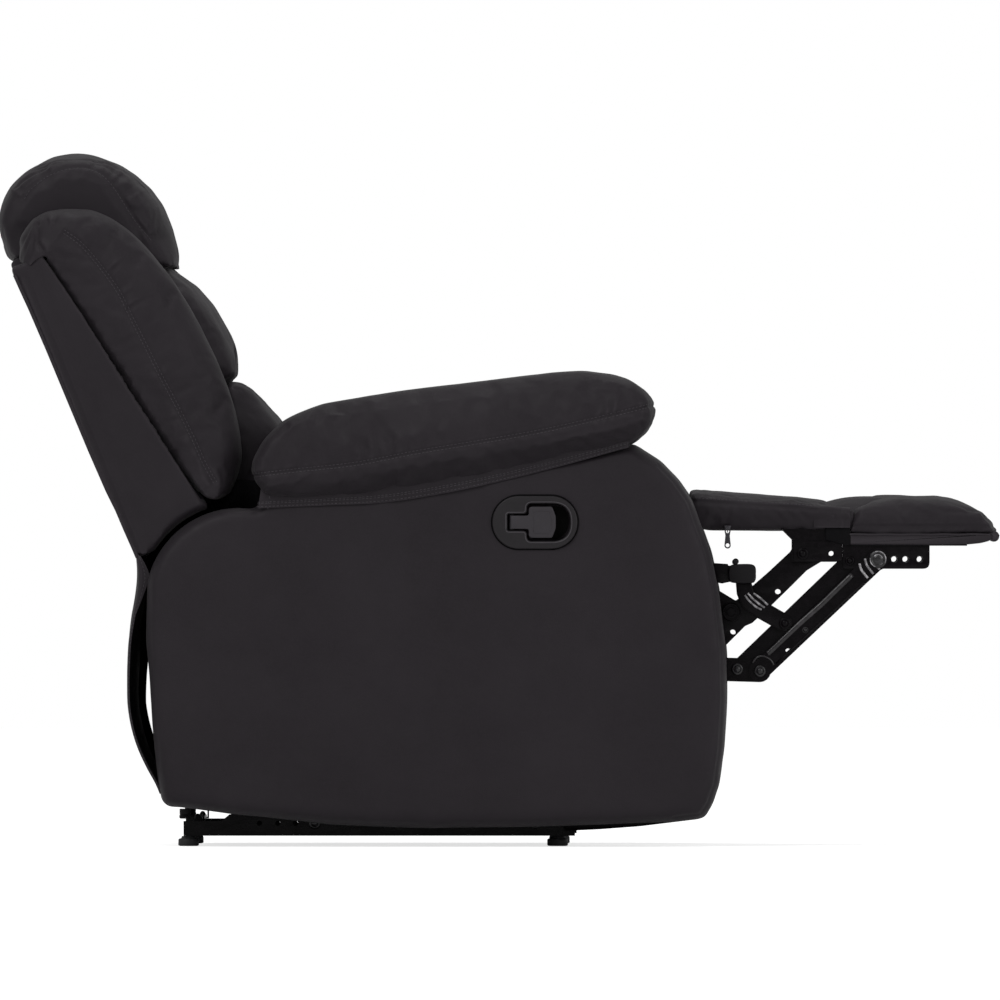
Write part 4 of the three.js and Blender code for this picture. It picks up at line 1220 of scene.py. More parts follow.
def add_pad_flanges():
    top, low = flowing(spots(*flange_top), 14), flowing(spots(*flange_low), 14)
    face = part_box("right_arm_cover")[0].y - 0.0016
    rows = []
    for t in np.linspace(0, 1, 17):
        line = top * (1 - t) + low * t
        run = np.linspace(0, 1, len(line)) * 0.5
        place = at_depth(np.stack([run, 0 * run], axis=1), t * 0.05)
        wave = 0.0011 * noise(place, 0.022, 31) * (0.3 + t) - 0.0012
        groove = 0.0005 * sum(math.exp(-((t - at) / 0.03) ** 2) for at in (0.75, 0.84, 0.93))
        rows.append(at_depth(line, face + wave + groove))
    grid = np.array(rows).transpose(1, 0, 2)
    flange = swept("right_pad_flange", ribbon(grid, np.broadcast_to(outward, grid.shape), 0.0022))
    soften(flange, 0.0008)
    settle(flange)
    in_leather(flange, "body")
    lines = [line + (0, -0.0011, 0) for line in (*(grid[:, row] for row in (12, 13, 15)), grid[2, 9:])]
    chains = [(line, tiled(outward, len(line))) for line in lines]
    threads = dress(stitches("right_pad_flange_stitching", chains), "body", thread)
    right_pair(flange)
    right_pair(threads)


def add_back_linings():
    """Dark cloth over the sides of the timber back frame, and a sector about the back's hinge."""
    piece = plate("right_back_lining", grown(section("back_frame", -0.262), 0.0012), -0.2502, -0.2655, 0)
    right_pair(dress(piece, "back", backing))
    x, z = on_photo(240, 602)
    angles = [math.radians(a) for a in range(58, 170, 3)]
    outline = (arc(x, z, 0.165, angles[:15]) + arc(x, z, 0.138, angles[15:])
               + arc(x, z, 0.1, angles[::-1]))
    right_pair(dress(plate("right_hinge_lining", outline, -0.2642, -0.2654, 0), "back", backing))


def add_arm_linings():
    """Leather over the arm frame's inner face, beside the seat."""
    outline = grown(section("right_arm_frame", -0.279), 0.009)
    piece = plate("right_arm_lining", outline, -0.2699, -0.2683, 0.0006)
    in_leather(piece, "body")
    right_pair(piece)


def add_seat_linings():
    """Leather drawn down over the front rail, and the strips that close the gaps beside the seat."""
    profile = flowing([(0.2440, 0.3965), (0.2468, 0.3992), (0.2492, 0.3965), (0.2498, 0.3865),
                       (0.2484, 0.3655), (0.2466, 0.34), (0.2440, 0.315), (0.2434, 0.2945),
                       (0.2412, 0.2918), (0.2294, 0.2918)], 4)
    heading = headings(profile)
    ahead = at_depth(np.stack([-heading[:, 1], heading[:, 0]], axis=1), 0.0)
    grid = []
    for y in np.linspace(-0.2366, 0.2366, 91):
        row = at_depth(profile, y)
        sag = 0.0008 * noise(row, (0.05, 0.03, 0.09), 81) * np.clip((profile[:, 1] - 0.3) / 0.03, 0, 1)
        grid.append(row + ahead * sag[:, None])
    grid = np.array(grid)
    apron = swept("seat_apron", ribbon(grid, np.tile(ahead, (len(grid), 1, 1)), 0.0018))
    in_leather(apron, "body")
    rows = [(grid[:, i] + ahead[i] * 0.0009, tiled(ahead[i], len(grid))) for i in (-9, -10)]
    dress(stitches("seat_apron_stitching", rows), "body", thread)
    end = [(0.2294, 0.2912), (0.2445, 0.2912), (0.2456, 0.32), (0.2494, 0.3865), (0.2494, 0.3965),
           (0.2468, 0.3992), (0.244, 0.397), (0.2294, 0.394)]
    right_pair(in_leather(plate("right_apron_end", end, -0.2361, -0.2374), "body"))
    across = flowing([(-0.2682, 0.4080), (-0.2662, 0.4010), (-0.2640, 0.3975), (-0.2600, 0.3965)], 4)
    rings = []
    for x in np.linspace(-0.12, 0.243, 60):
        dip = 0.0012 * noise(np.array([[x, 0, 0]]), 0.05, 83)[0]
        top = [(x, y, z + dip) for y, z in across]
        rings.append(top + [(x, y, z - 0.0018) for _, y, z in reversed(top)])
    right_pair(in_leather(swept("right_seat_strip", rings), "body"))


# Loose skirt of leather from the foot of the back to the arms' rear ends
curtain_side = [(138.4, 556), (140.2, 570), (140.2, 584), (138.3, 600), (134.6, 619), (131.3, 640),
                (129.9, 662), (129.3, 683), (130, 706), (133.5, 727), (139.2, 746), (147.8, 765),
                (157.4, 782.6), (161.8, 793)]


def add_curtain():
    side = flowing(spots(*curtain_side), 5)
    heading = headings(side)
    behind = np.stack([heading[:, 1], -heading[:, 0]], axis=1)
    half, turn, lip = 0.3635, 0.007, 0.016
    across = []
    for sign in (-1, 1):
        flank = [(lip + turn - d, half) for d in np.linspace(0, lip, 6)[:-1]]
        corner = [(turn - turn * math.sin(a), half - turn + turn * math.cos(a))
                  for a in np.linspace(0, math.pi / 2, 5)]
        part = [(d, sign * y) for d, y in flank + corner]
        across.append(part if sign < 0 else part[::-1])
    middle = [(0.0, y) for y in np.linspace(-half + turn, half - turn, 75)[1:-1]]
    path = np.array(across[0] + middle + across[1])
    tangent = headings(path)
    grid, normals = [], []
    share = np.linspace(0, 1, len(side))
    wide = np.interp(share, (0, 0.4, 0.46, 0.615, 0.69, 0.75, 0.88, 1),
                     (1, 0.86, 0.7, 0.58, 0.6, 0.62, 0.45, 0.3))
    narrow = np.interp(share, (0, 0.06, 0.115, 0.18, 0.29, 1), (0.2, 0.46, 0.68, 0.42, 0.1, 0.1))
    for i, (p, b) in enumerate(zip(side, behind)):
        spot = np.stack([path[:, 1], np.full(len(path), share[i] * 0.16), 0 * path[:, 1]], axis=1)
        fold = 0.0035 * noise(spot, 0.075, 41) + 0.0015 * noise(spot, 0.03, 44)
        fold *= math.sin(math.pi * min(share[i] * 1.15, 1)) ** 0.5 if share[i] < 0.87 else 0.2
        lips = np.where(path[:, 1] < 0, narrow[i], wide[i])
        depth = path[:, 0] * lips - fold * (np.abs(path[:, 1]) < 0.35)
        grid.append(np.stack([p[0] - b[0] * depth, path[:, 1], p[1] - b[1] * depth], axis=1))
        normals.append(np.stack([b[0] * tangent[:, 1], tangent[:, 0], b[1] * tangent[:, 1]], axis=1))
    grid, normals = np.array(grid), np.array(normals)
    skirt = swept("rear_skirt", ribbon(grid, normals, 0.0022))
    shaded(skirt, leather)
    inside = grid[:, 1:-1] - normals[:, 1:-1] * 0.0016
    lining = swept("rear_skirt_lining", ribbon(inside, normals[:, 1:-1], 0.0007))
    shaded(lining, backing)
    places = [(slice(None), 3), (slice(None), len(path) - 4), (-5, slice(8, -8))]
    rows = [(grid[at] + normals[at] * 0.0011, normals[at]) for at in places]
    threads = stitches("rear_skirt_stitching", rows)
    threads.data.materials.append(thread)
    for piece in (skirt, lining, threads):
        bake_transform(piece)
    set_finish(skirt, "leather")
    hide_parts("rear_curtain")


def add_foot_bridge():
    """Leather that bridges the footrest's two pads."""
    line = flowing([(0.424, 0.447), (0.428, 0.4585), (0.446, 0.4655), (0.472, 0.4705), (0.5, 0.4712),
                    (0.528, 0.4700), (0.552, 0.4655), (0.566, 0.456)], 4)
    rings = []
    for y in np.linspace(-0.235, 0.235, 95):
        fall = 0.024 * max(0, (abs(y) - 0.17) / 0.065) ** 2
        spot = at_depth(line, y)
        wave = 0.0009 * noise(spot, (0.05, 0.014, 0.05), 61) + 0.0012 * noise(spot, 0.06, 63)
        top = [(x, y, z - fall + w) for (x, z), w in zip(line, wave)]
        under = [(x, y, min(z - fall - 0.011, 0.452)) for x, z in line[::-1]]
        rings.append(top + under)
    bridge = swept("foot_bridge", rings)
    in_leather(bridge, "ottoman")
    folding(bridge)


def folding(piece):
    """Gives a piece its own copy of its mesh."""
    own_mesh(piece)


def side_of(name, x, heights, sign):
    """How far out in y the side of a piece stands at each height, smoothed."""
    mesh = bpy.data.objects[name].data
    tree = BVHTree.FromPolygons([v.co for v in mesh.vertices], [tuple(f.vertices) for f in mesh.polygons])
    out = [abs(tree.ray_cast(Vector((x, 0.4 * sign, z)), Vector((0, -sign, 0)))[0].y) for z in heights]
    return np.convolve(np.pad(out, 1, "edge"), (0.25, 0.5, 0.25), "valid")


def add_foot_joint():
    """The gathered join between the footrest's pads, its cheeks and its tucks."""
    tuck_clear, thick = 0.2592, 0.013
    profile = flowing([(0.4765, 0.4282), (0.4640, 0.4290), (0.4540, 0.4292), (0.4472, 0.4312),
                       (0.4540, 0.4376), (0.4600, 0.4440), (0.4640, 0.4500), (0.4700, 0.4528),
                       (0.4768, 0.4500)], 4)
    rings = []
    for y in np.linspace(-0.2515, 0.2515, 117):
        spot = at_depth(profile, y)
        fold = 0.0012 * noise(spot, (0.012, 0.009, 0.008), 71)
        rings.append([(x - f, y, z - 0.6 * f) for (x, z), f in zip(profile, fold)])
    gusset = in_leather(swept("foot_gusset", rings), "ottoman")
    folding(gusset)
    for hand, sign in (("right", -1), ("left", 1)):
        heights = np.linspace(0.4296, 0.4547, 16)
        side = np.maximum(side_of("flap_pillow", 0.43, heights, sign), tuck_clear)
        grid = []
        for x in np.linspace(0.4235, 0.4722, 76):
            share = max(0, x - 0.4395) / 0.0327
            proud = 0.0012 * smooth((x - 0.4235) / 0.007) - 0.0008
            column = [(x, out + proud, z - 0.0024 * share * (z - 0.4296) / 0.0251)
                      for out, z in zip(side, heights)]
            column += [(x, side[-1] + proud - 0.006 * (1 - math.cos(a)), column[-1][2] + 0.0045 * math.sin(a))
                       for a in np.linspace(0, math.pi / 2, 6)[1:]]
            column = np.array(column)
            column[:, 1] += noise(column * (1, 0, 0.18), 0.0045, 77) * (0.0001 + 0.001 * share) - thick / 2
            column[:, 1] *= sign
            grid.append(column)
        grid, out = np.array(grid), np.broadcast_to((0.0, sign, 0.0), (len(grid), len(grid[0]), 3))
        cheek = in_leather(swept(f"{hand}_flap_cheek", ribbon(grid, out, thick)), "flap")
        folding(cheek)
    tuck = spots((825, 525), (838, 524.5), (850, 524.5), (850.4, 545), (846, 546), (834, 542), (825, 540))
    for hand, near, far in (("right", -0.2516, -0.2566), ("left", 0.2516, 0.2566)):
        piece = plate(f"{hand}_flap_tuck", tuck, near, far, 0.0012)
        dress(piece, "flap", backing)
        folding(piece)


def add_foot_wrap():
    """Leather drawn round the footrest board's edge, with the sewn welt at its nose."""
    low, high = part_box("foot_board")
    nose = high.x + 0.0022
    loop = [(low.x - 0.002, high.z - 0.0002), (low.x - 0.002, low.z + 0.0002), (0.6, low.z),
            (0.632, low.z + 0.0006), (0.648, low.z + 0.0022), (0.659, low.z + 0.005),
            (nose, low.z + 0.0085), (nose, high.z - 0.0002)]
    loop = corner_curve(loop, [0.0015, 0.002, 0.03, 0.012, 0.008, 0.005, 0.003, 0.001])
    wrap = solid_plate("foot_board_wrap", loop, 0.2554, -0.2554, 0.0018)
    crisp(wrap, "ottoman", leather, "leather")
    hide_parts("foot_board")
    flat = [(low.x - 0.001, -0.2542), (0.63, -0.2542), (0.63, 0.2542), (low.x - 0.001, 0.2542)]
    under = [[(x, y, z) for x, y in flat] for z in (low.z - 0.0012, low.z + 0.0004)]
    dress(swept("foot_board_lining", under), "ottoman", backing).data.shade_flat()
    run = np.linspace(low.x - 0.001, nose - 0.002, 90)
    edge = np.stack([run, np.full(90, -0.2552), high.z - 0.0016 + 0.0003 * np.sin(run * 160)], axis=1)
    right_pair(in_leather(tube("right_board_piping", [(edge, tiled(outward, 90))], 0.0017, 10), "ottoman"))
    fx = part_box("foot_cushion")[1].x - 0.0045
    ys = np.linspace(-0.2525, 0.2525, 120)
    line = np.stack([np.full(120, fx), ys, low.z + 0.0115 + 0.0004 * np.sin(ys * 90)], axis=1)
    ahead = tiled((1.0, 0.0, 0.25), 120)
    in_leather(tube("foot_nose_welt", [(line, ahead)], 0.007, 16), "ottoman")
    rows = [(line + (0.0022, 0, 0.0066), tiled((0.3, 0.0, 1.0), 120)),
            (line + (0.0068, 0, 0.0012), tiled((1.0, 0.0, 0.2), 120))]
    dress(stitches("foot_nose_stitching", rows), "ottoman", thread)


# Metalwork and plastic details
def cut_plate(name, loops, near, far, bevel=0.0006, steps=3):
    """A plate from an outline and its holes, in the side view, with rounded edges."""
    data = bpy.data.curves.new(name, "CURVE")
    data.dimensions = "2D"
    data.fill_mode = "BOTH"
    data.bevel_depth, data.bevel_resolution = bevel, steps
    data.extrude = abs(far - near) / 2 - bevel
    data.offset = -bevel
    for loop in loops:
        spline = data.splines.new("POLY")
        spline.points.add(len(loop) - 1)
        for point, (x, z) in zip(spline.points, loop):
            point.co = (x, z, 0, 1)
        spline.use_cyclic_u = True
    curve = new_object(name + "_curve", data)
    graph = bpy.context.evaluated_depsgraph_get()
    mesh = bpy.data.meshes.new_from_object(curve.evaluated_get(graph))
    bpy.data.objects.remove(curve)
    points = points_of(mesh)
    move_points(mesh, np.stack([points[:, 0], (near + far) / 2 - points[:, 2], points[:, 1]], axis=1))
    turned_out(mesh, plate_weld)
    return new_object(name, mesh)


def solid_plate(name, loop, near, far, bevel=0.0015, steps=4):
    """A plate from one outline, with rounded edges, as rings of the outline drawn in."""
    out = -1 if far < near else 1
    rows = []
    for face, first, last, way in ((near, 0, math.pi / 2, out), (far, math.pi / 2, 0, -out)):
        rows.extend((-bevel * (1 - math.sin(a)), face + way * bevel * (1 - math.cos(a)))
                    for a in np.linspace(first, last, steps + 1))
    return swept(name, [[(x, y, z) for x, z in grown(loop, by)] for by, y in rows])


def lathed(name, profile, centre, axis="y", steps=28):
    """A turned form: profile rows are radius and height along the axis from centre."""
    rings = []
    for radius, height in profile:
        ring = []
        for a in np.linspace(0, 2 * math.pi, steps, endpoint=False):
            c, n = radius * math.cos(a), radius * math.sin(a)
            ring.append((centre[0] + c, centre[1] + height, centre[2] + n) if axis == "y"
                        else (centre[0] + c, centre[1] + n, centre[2] + height))
        rings.append(ring)
    return swept(name, rings)


# The linkage's layers: the long link's face, and the faces that rivets sit on
long_face = -0.2552
long_seat, knee_seat, base_seat = -0.2576, -0.2536, -0.2496

# Rivets: name, pivot x, z in metres, the face they sit on, radius, body
rivets = [
    ("knee", 0.3505, 0.2363, long_seat, 0.008, "long_links"),
    ("toggle", 0.5098, 0.3872, long_seat, 0.012, "long_links"),
    ("long_bolt", 0.4118, 0.2916, -0.255, 0.0048, "long_links"),
    ("cross_root", 0.2108, 0.3663, long_seat, 0.008, "cross_links"),
    ("cross_end", 0.3839, 0.3005, long_seat, 0.008, "cross_links"),
    ("knee_end", 0.32, 0.239, knee_seat, 0.008, "knee_links"),
    ("mid", 0.2703, 0.2698, knee_seat, 0.008, "knee_links"),
    ("foot", 0.4718, 0.3852, knee_seat, 0.0062, "ottoman"),
    ("flap", 0.4082, 0.3946, knee_seat, 0.008, "flap"),
    ("front_glide", 0.048, 0.031, base_seat, 0.008, "base"),
    ("rear_glide", -0.25, 0.031, base_seat, 0.008, "base"),
]
# These rivets keep the plain black enamel; the others take the lighter copy with its painted highlight.
plain_rivets = ("cross_end", "flap", "foot")


def add_rivets():
    for name, x, z, face, radius, body in rivets:
        r = radius
        profile = [(0.0004, -0.0019), (0.3 * r, -0.0018), (0.46 * r, -0.0013), (0.54 * r, -0.0004),
                   (0.6 * r, -0.0003), (0.66 * r, -0.0012), (0.82 * r, -0.0013), (0.95 * r, -0.0007),
                   (1.0 * r, 0.0001), (0.98 * r, 0.0008), (0.9 * r, 0.003)]
        cap = lathed(f"right_{name}_rivet", profile, (x, face, z))
        right_pair(crisp(cap, body, enamel if name in plain_rivets else rivet_enamel, angle=50))


def bead(name, lines, y, radius, body, material, flat=0.7):
    """Half-round ridges along side-view lines on a face at y."""
    rows = []
    for line in lines:
        curve = flowing(line, 5)
        rows.append((at_depth(curve, y), tiled(outward, len(curve))))
    piece = tube(name, rows, radius, 12)
    points = points_of(piece.data)
    points[:, 1] = y + (points[:, 1] - y) * flat
    move_points(piece.data, points)
    right_pair(dress(piece, body, material))


def ridge(name, loop, y, radius, body, material):
    """A closed half-round bead round a side-view loop."""
    place = at_depth(np.array([*loop, loop[0], loop[1]]), y)
    return dress(tube(name, [(place, tiled(outward, len(place)))], radius, 10), body, material)


def add_bracket_details():
    tab = corner_curve(spots((793, 541), (842.1, 541), (842.1, 561.5), (793, 561.5)),
                       [0.001, 0.001, 0.006, 0.003])
    x, z = 0.447, 0.3946
    piece = cut_plate("right_flap_doubler", [tab, ring_of(x, z, 0.0038)], -0.2513, -0.2529, 0.0005)
    crisp_pair(piece, "flap", enamel)
    low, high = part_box("right_foot_bracket")
    side = corner_curve([(low.x + 0.0006, high.z), (0.5795, high.z), (0.5795, low.z),
                         (low.x + 0.0006, low.z)], [0.001, 0.001, 0.009, 0.004])
    holes = [(x, 0.3871) for x in (0.5316, 0.5468, 0.566)]
    piece = cut_plate("right_foot_plate", [side, *[ring_of(*at, 0.0039) for at in holes]],
                      -0.248, -0.251, 0.0004)
    steel_pair(piece, "ottoman", "right_foot_bracket")
    shelf = corner_curve([(low.x + 0.001, -0.2245), (0.579, -0.2245), (0.579, -0.2508),
                          (low.x + 0.001, -0.2508)], [0.006, 0.006, 0.001, 0.001])
    rings = [[(x, y, z) for x, y in shelf] for z in (high.z - 0.003, high.z - 0.0002)]
    crisp_pair(swept("right_foot_shelf", rings), "ottoman", enamel)
    # Rims round the holes in the lighter enamel: a painted highlight.
    for i, (x, z) in enumerate(holes):
        piece = cut_plate(f"right_hole_rim_{i}", [ring_of(x, z, 0.0049), ring_of(x, z, 0.0039)],
                          -0.2511, -0.2516, 0.0002, 1)
        crisp_pair(piece, "ottoman", rivet_enamel)
    batten = spots((556, 818), (566, 830.6), (600, 829), (640, 826), (689, 820), (696, 815), (640, 812))
    piece = plate("right_under_batten", batten, -0.2625, -0.2698, 0.0012)
    right_pair(dress(piece, "body", enamel))


def add_link_details():
    # The joggle beads are painted highlights across the long link near the toggle.
    joggle = [spots((871.5, 553.5), (873.5, 561), (879, 569.5)),
              spots((864.5, 558.5), (867, 566), (873, 574)),
              spots((859, 563.5), (861.5, 570.5), (867.5, 578))]
    bead("right_long_joggle", joggle, long_face, 0.0017, "long_links", glint_enamel)
    edge = [spots((776, 663.5), (812, 631), (850, 596), (865, 582))]
    bead("right_long_fold", edge, long_face, 0.0013, "long_links", enamel)
    # The roll and the knee collar take the lighter enamel: a painted highlight along the fold and round the
    # knee.
    roll = [spots((767, 654), (773, 648.6), (799, 624), (821, 604.5), (838, 588), (852, 574.5))]
    bead("right_long_roll", roll, long_face, 0.0037, "long_links", rib_enamel, 0.5)
    collar = [spots((752, 663), (756.5, 657.5), (763, 656), (770, 659.5), (773.5, 665))]
    bead("right_knee_collar", collar, long_face, 0.0014, "long_links", rib_enamel)
    # Arcs round the toggle rivet: a painted highlight on its rim.
    arcs = [arc(0.5098, 0.3872, radius, np.radians(np.arange(low, high, 20)))
            for radius, low, high in ((0.0106, -30, 130), (0.0106, 170, 260), (0.0062, 20, 150))]
    bead("right_toggle_glint", arcs, -0.2588, 0.0007, "long_links", glint_enamel)
    middle = spots((823, 560.5), (806.5, 570.5), (792, 585), (770.5, 606), (752, 623), (745, 626), (727, 644),
                   (712, 658), (703, 661), (694, 659.5), (687.5, 653), (686.5, 643), (692, 632), (706, 617),
                   (711, 603), (713, 589.5), (717, 590.5), (735, 601.5), (742, 596), (752, 586.5), (767.5, 573),
                   (789.5, 552.5), (794, 545), (800, 540.5), (810, 541), (818, 547))
    middle = corner_curve(middle, [0.003, 0.01, 0.01, 0.01, 0.003, 0.003, *[0.005] * 8, 0.006, 0.0015,
                                   0.003, 0.003, 0.003, 0.008, 0.01, 0.005, 0.004, 0.004, 0.004, 0.004], 4)
    holes = [ring_of(*spot, 0.0039) for spot in spots((777.5, 592), (732.5, 632.5))]
    piece = cut_plate("right_mid_plate", [middle, *holes], -0.24, -0.243, 0.0004)
    steel_pair(piece, "mid_links", "right_mid_link")
    lip = spots((799, 614.5), (857, 561.5), (861, 564.5), (802.5, 618.5))
    right_pair(dress(plate("right_inner_lip", lip, -0.2442, -0.2468, 0.0004), "inner_links", enamel))
    link = spots((650, 568), (735, 566), (751, 567), (754, 573), (751, 584), (754, 592), (769, 605), (783, 613),
                 (791.5, 619), (791.5, 627), (784, 631), (775, 628), (757, 618), (742, 608), (736.5, 594),
                 (735.5, 582), (650, 581.5))
    link = corner_curve(link, [0.006, 0.002, 0.005, 0.004, 0.006, 0.008, *[0.006] * 8, 0.003, 0.003,
                               0.006], 5)
    piece = solid_plate("right_cross_plate", link, -0.2522, -0.2552, 0.0006)
    steel_pair(piece, "cross_links", "right_cross_link")
    for name, (x, z), deep in (("root", (0.2108, 0.3663), -0.237), ("end", (0.3839, 0.3005), -0.2445)):
        pin = lathed(f"right_cross_{name}_pin", [(0.0055, 0.0), (0.0055, -0.2575 - deep)], (x, deep, z),
                     steps=20)
        crisp_pair(pin, "cross_links", enamel)
    doubler = spots((737, 583), (750.5, 583), (753, 592.5), (768, 605.5), (782, 613.8), (790.5, 619.8),
                    (790.5, 626.5), (784, 630), (775.5, 627), (757.5, 617), (743, 607.5), (737.5, 594))
    doubler = corner_curve(doubler, [0.003] * 12, 4)
    piece = solid_plate("right_cross_doubler", doubler, -0.2553, -0.2571, 0.0006)
    crisp_pair(piece, "cross_links", enamel)
    # The cross link's bands are painted highlights where it bends.
    bands = [spots((744.5, 595), (749, 601), (756, 607), (761.5, 609.5)),
             spots((747.5, 593.2), (752.5, 598.5), (759, 604), (764.5, 607.8)),
             spots((753.3, 593.3), (760, 598), (767.5, 605))]
    bead("right_cross_bands", bands, -0.2572, 0.0014, "cross_links", glint_enamel)
    stop = spots((728.5, 570), (730, 566), (733, 565), (740, 564.5), (751, 564.8), (755, 568), (755.4, 574),
                 (755, 580.5), (751, 583.2), (734, 583), (729.5, 581), (728.3, 576))
    block = solid_plate("right_stop_block", flowing([*stop, stop[0]], 3)[:-1], -0.2573, -0.2655, 0.0018)
    crisp_pair(block, "cross_links", rubber)
    x, z = on_photo(735, 562)
    knob = lathed("right_stop_knob", [(0.0004, -0.0045), (0.0025, -0.0044), (0.0038, -0.0034),
                                      (0.0042, -0.0015), (0.0042, 0.0028)], (x, -0.2605, z))
    crisp_pair(knob, "cross_links", rubber)
    arm = spots((712, 563.5), (727, 564.5), (729, 570), (729, 582), (722, 583.5), (712, 582))
    crisp_pair(solid_plate("right_stop_arm", arm, -0.2557, -0.2585, 0.0006), "cross_links", enamel)
    x, z = on_photo(731, 612)
    hub = lathed("right_spring_hub", [(0.003, -0.0034), (0.0054, -0.0034), (0.0062, -0.0022), (0.009, -0.0021),
                                      (0.0094, -0.003), (0.0112, -0.003), (0.0124, -0.002), (0.0128, 0.0),
                                      (0.0112, 0.0004)], (x, -0.2432, z), steps=40)
    crisp_pair(hub, "mid_links", enamel)


def add_lever():
    low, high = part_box("lever_bezel")
    z = (low.z + high.z) / 2
    end = (high.z - low.z) / 2
    half_turn = np.linspace(-1.5708, 1.5708, 25)
    stadium = arc(high.x - end, z, end, half_turn)
    stadium += [(low.x + end - end * math.cos(a), z - end * math.sin(a)) for a in half_turn]
    tongue, neck, far = 0.011, 0.0372, 0.0955
    mouth, strip = 0.0252, 0.0112
    slot = corner_curve([(tongue, z - strip), (neck, z - strip), (neck, z - mouth), (far, z - mouth),
                         (far, z + mouth), (neck, z + mouth), (neck, z + strip), (tongue, z + strip)],
                        [0.002, 0.006, 0.009, 0.025, 0.025, 0.009, 0.006, 0.002], 12)
    face = low.y
    plate_piece = cut_plate("bezel_plate", [stadium, slot], face + 0.005, face, 0.0018, 4)
    crisp(plate_piece, "body", lever_plastic, "lever_plastic", angle=50)
    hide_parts("lever_bezel")
    # Pale beads round the slot and inside the outer edge: painted highlights on the bezel's rims.
    ridge("bezel_rim", grown(slot, 0.0022), face + 0.0003, 0.0007, "body", rim_plastic)
    ridge("bezel_border", grown(stadium, -0.0022), face + 0.0007, 0.0007, "body", rim_plastic)
    # A near-black ring round the bezel where it meets the arm: a painted shadow line.
    ridge("bezel_gasket", grown(stadium, 0.0006), face + 0.0046, 0.0012, "body", recess_plastic)
    # The cup and its back in near-black plastic: painted shade in the recess.
    cup = cut_plate("bezel_cup", [grown(slot, 0.0018), grown(slot, 0.0001)],
                    high.y - 0.0005, face + 0.004, 0.0003, 1)
    crisp(cup, "body", recess_plastic)
    back = solid_plate("bezel_cup_back", grown(slot, 0.0018), high.y, high.y - 0.0024, 0.0004, 1)
    crisp(back, "body", recess_plastic)
    low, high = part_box("release_lever")
    paddle = corner_curve([(low.x + 0.002, z - 0.0092), (0.0395, z - 0.0092), (0.0395, z - 0.0212),
                           (0.0712, z - 0.0212), (0.0762, z - 0.008), (0.0762, z + 0.008),
                           (0.0712, z + 0.0212), (0.0395, z + 0.0212),
                           (0.0395, z + 0.0092), (low.x + 0.002, z + 0.0092)],
                          [0.0012, 0.003, 0.0055, 0.004, 0.014, 0.014, 0.004, 0.0055, 0.003, 0.0012], 8)
    lid = solid_plate("lever_paddle", paddle, low.y + 0.004, low.y, 0.0015, 4)
    crisp(lid, "lever", paddle_plastic, "lever_plastic", angle=50)
    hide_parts("release_lever")
    hollow = corner_curve([(0.0462, z - 0.015), (0.067, z - 0.015), (0.0705, z - 0.006), (0.0705, z + 0.006),
                           (0.067, z + 0.015), (0.0462, z + 0.015)],
                          [0.004, 0.004, 0.01, 0.01, 0.004, 0.004], 8)
    ridge("lever_grip", hollow, low.y + 0.0003, 0.0007, "lever", paddle_plastic)
    hinge = (low.x + 0.0042, low.y + 0.0072, z)
    barrel = lathed("lever_barrel", [(0.0034, -0.0105), (0.0038, -0.0101), (0.0038, 0.0101), (0.0034, 0.0105)],
                    hinge, "z", 20)
    crisp(barrel, "lever", lever_plastic)
    crank = plate("lever_crank", [(low.x + 0.0027, z - 0.003), (low.x + 0.0057, z - 0.003),
                                  (low.x + 0.0057, z + 0.003), (low.x + 0.0027, z + 0.003)],
                  low.y + 0.006, high.y, 0.0004)
    dress(crank, "lever", lever_plastic)


def add_zip():
    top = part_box("zip_pull")[1].z
    x, y = 0.307, -0.2618
    neck = [(0.003, 0.0095), (0.0034, 0.014), (0.004, 0.0195)]
    outline = [*arc(x, top - 0.0035, 0.0041, np.linspace(-0.5, math.pi + 0.5, 14)),
               *[(x - wide, top - down) for wide, down in neck],
               *arc(x, top - 0.0228, 0.0043, np.linspace(math.pi, 2 * math.pi, 12)),
               *[(x + wide, top - down) for wide, down in reversed(neck)]]
    eyes = [ring_of(x, top - 0.0038, 0.0023, 16), ring_of(x, top - 0.0226, 0.0026, 16)]
    tab = cut_plate("zip_tab", [outline, *eyes], y + 0.0008, y - 0.001, 0.0004)
    crisp(tab, "pull", zip_metal, "nickel")
    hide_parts("zip_pull")
    slider = solid_plate("zip_slider", [(x - 0.0045, top + 0.004), (x - 0.0036, top - 0.0012),
                                        (x + 0.0036, top - 0.0012), (x + 0.0045, top + 0.004)],
                         y + 0.006, y + 0.0012, 0.0008)
    crisp(slider, "flap", zip_metal)
    loop = np.array([(x, y + 0.0025 - 0.0042 * math.sin(a), top - 0.0022 + 0.0028 * math.cos(a))
                     for a in np.linspace(0, math.pi, 12)])
    bail = tube("zip_bail", [(loop, tiled((1.0, 0.0, 0.0), 12))], 0.0006)
    dress(bail, "flap", zip_metal)


def add_feet():
    for name in ("right_front_foot", "left_front_foot", "right_rear_foot", "left_rear_foot"):
        low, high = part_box(name)
        back = 0.0072 if "rear" in name else 0.0014
        centre = ((low.x + high.x) / 2 - back, (low.y + high.y) / 2, 0)
        profile = [(0.011, 0.0002), (0.0134, 0.0008), (0.014, 0.002), (0.014, 0.0088), (0.0132, 0.0102),
                   (0.0102, 0.0107), (0.0098, 0.0112), (0.0098, 0.0128), (0.0088, high.z)]
        foot = lathed(name.replace("foot", "glide_pad"), profile, centre, "z", 36)
        crisp(foot, "base", foot_plastic, "foot_plastic", angle=40)
        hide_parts(name)
        stud = [(0.004, 0.0145), (0.0042, 0.0165), (0.0066, 0.0167), (0.0066, 0.0196), (0.004, 0.0198),
                (0.0036, 0.0225)]
        rod = lathed(name.replace("foot", "stud"), stud, centre, "z", 6)
        dress(rod, "base", spring_steel).data.shade_flat()


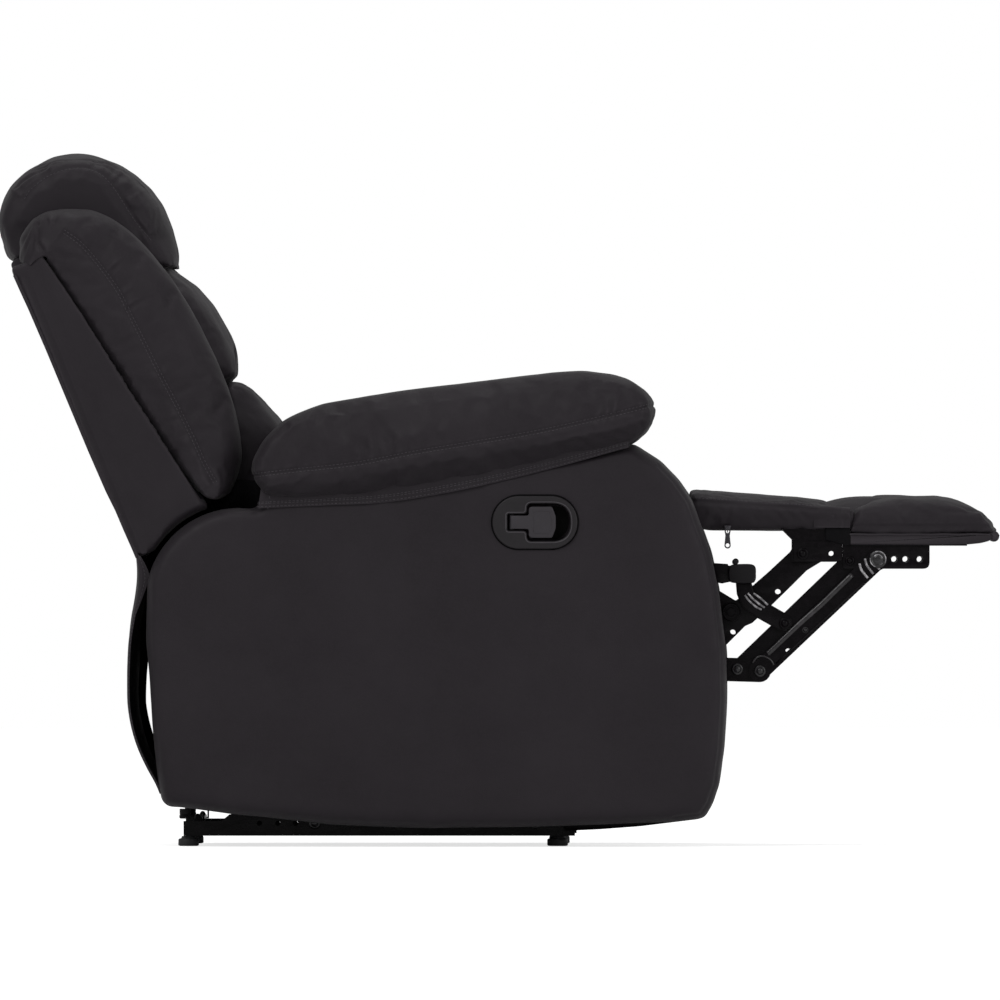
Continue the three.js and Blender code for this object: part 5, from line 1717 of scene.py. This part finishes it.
def add_base_details():
    """Small rubber and steel parts by the rear feet, turned about upright axes."""
    base_top, stud_y = 0.0342, -0.2456

    def at(x, y, z, name, profile, steps):
        return lathed(name, profile, (on_photo(x, 0)[0], y, z), "z", steps)
    stud = [(0.0068, 0.0), (0.0062, 0.0022), (0.0046, 0.0026), (0.0042, 0.0062), (0.0024, 0.0092),
            (0.0008, 0.0098)]
    crisp_pair(at(198, stud_y, base_top, "right_glide_stud", stud, 24), "base", rubber)
    pin = [(0.0012, 0.0), (0.0012, 0.0125), (0.0006, 0.013)]
    right_pair(dress(at(203.6, stud_y, base_top, "right_glide_pin", pin, 12), "base", enamel))
    buffer = [(0.0062, 0.0), (0.0078, 0.001), (0.008, 0.004), (0.0072, 0.0056), (0.0076, 0.0068),
              (0.0076, 0.0134)]
    crisp_pair(at(185.5, -0.2565, 0.0372, "right_buffer", buffer, 28), "body", rubber)


# CAD nodes that stay keep their shape and get a softened edge
def finish_frame():
    slots = {row["node"]: row["material_slot"] for row in frame["record"]["subparts"]}
    for name, node in nodes.items():
        slot = slots[name]
        node.data.materials.clear()
        node.data.materials.append(slot_finish[slot])
        soften(node, 0.0006 if slot in ("black_steel", "nickel", "spring_steel") else 0.0014, 35)


make_camera()
make_world()
make_floor()
make_lamp("key", (-2.2, -4.5, 4.2), (0, 0, 0.5), (3.0, 3.0), 135)
make_lamp("fill", (3.5, -4.0, 1.8), (0, 0, 0.4), (2.5, 2.5), 60)
make_lamp("top", (0.3, 0.6, 4.6), (0, 0, 0.5), (3.0, 2.0), 45)

finish_frame()
pad, wing = add_arm_pads(), add_wings()
others = [add_head_roll(), add_roll("middle_roll", 6), add_roll("lower_roll", 7), add_seat(),
          *add_footrest_pads(), add_back_cover(), add_arm_cover("right"), add_arm_cover("left")]
everything = [pad, wing, *others]
sewn = [soft for soft in everything if soft.sim]
for soft in sewn:
    soft.begin_cloth()
for moment in range(1, cloth_frames + 1):
    scene.frame_set(moment)
for soft in sewn:
    soft.end_cloth()
scene.frame_set(1)
for soft in (pad, wing):
    pair(soft)
for soft in others:
    soft.finish()

add_pad_flanges()
add_back_piping()
add_back_linings()
add_arm_linings()
add_seat_linings()
add_curtain()
add_foot_wrap()
add_foot_joint()
add_foot_bridge()
add_rivets()
add_link_details()
add_bracket_details()
add_lever()
add_zip()
add_feet()
add_base_details()
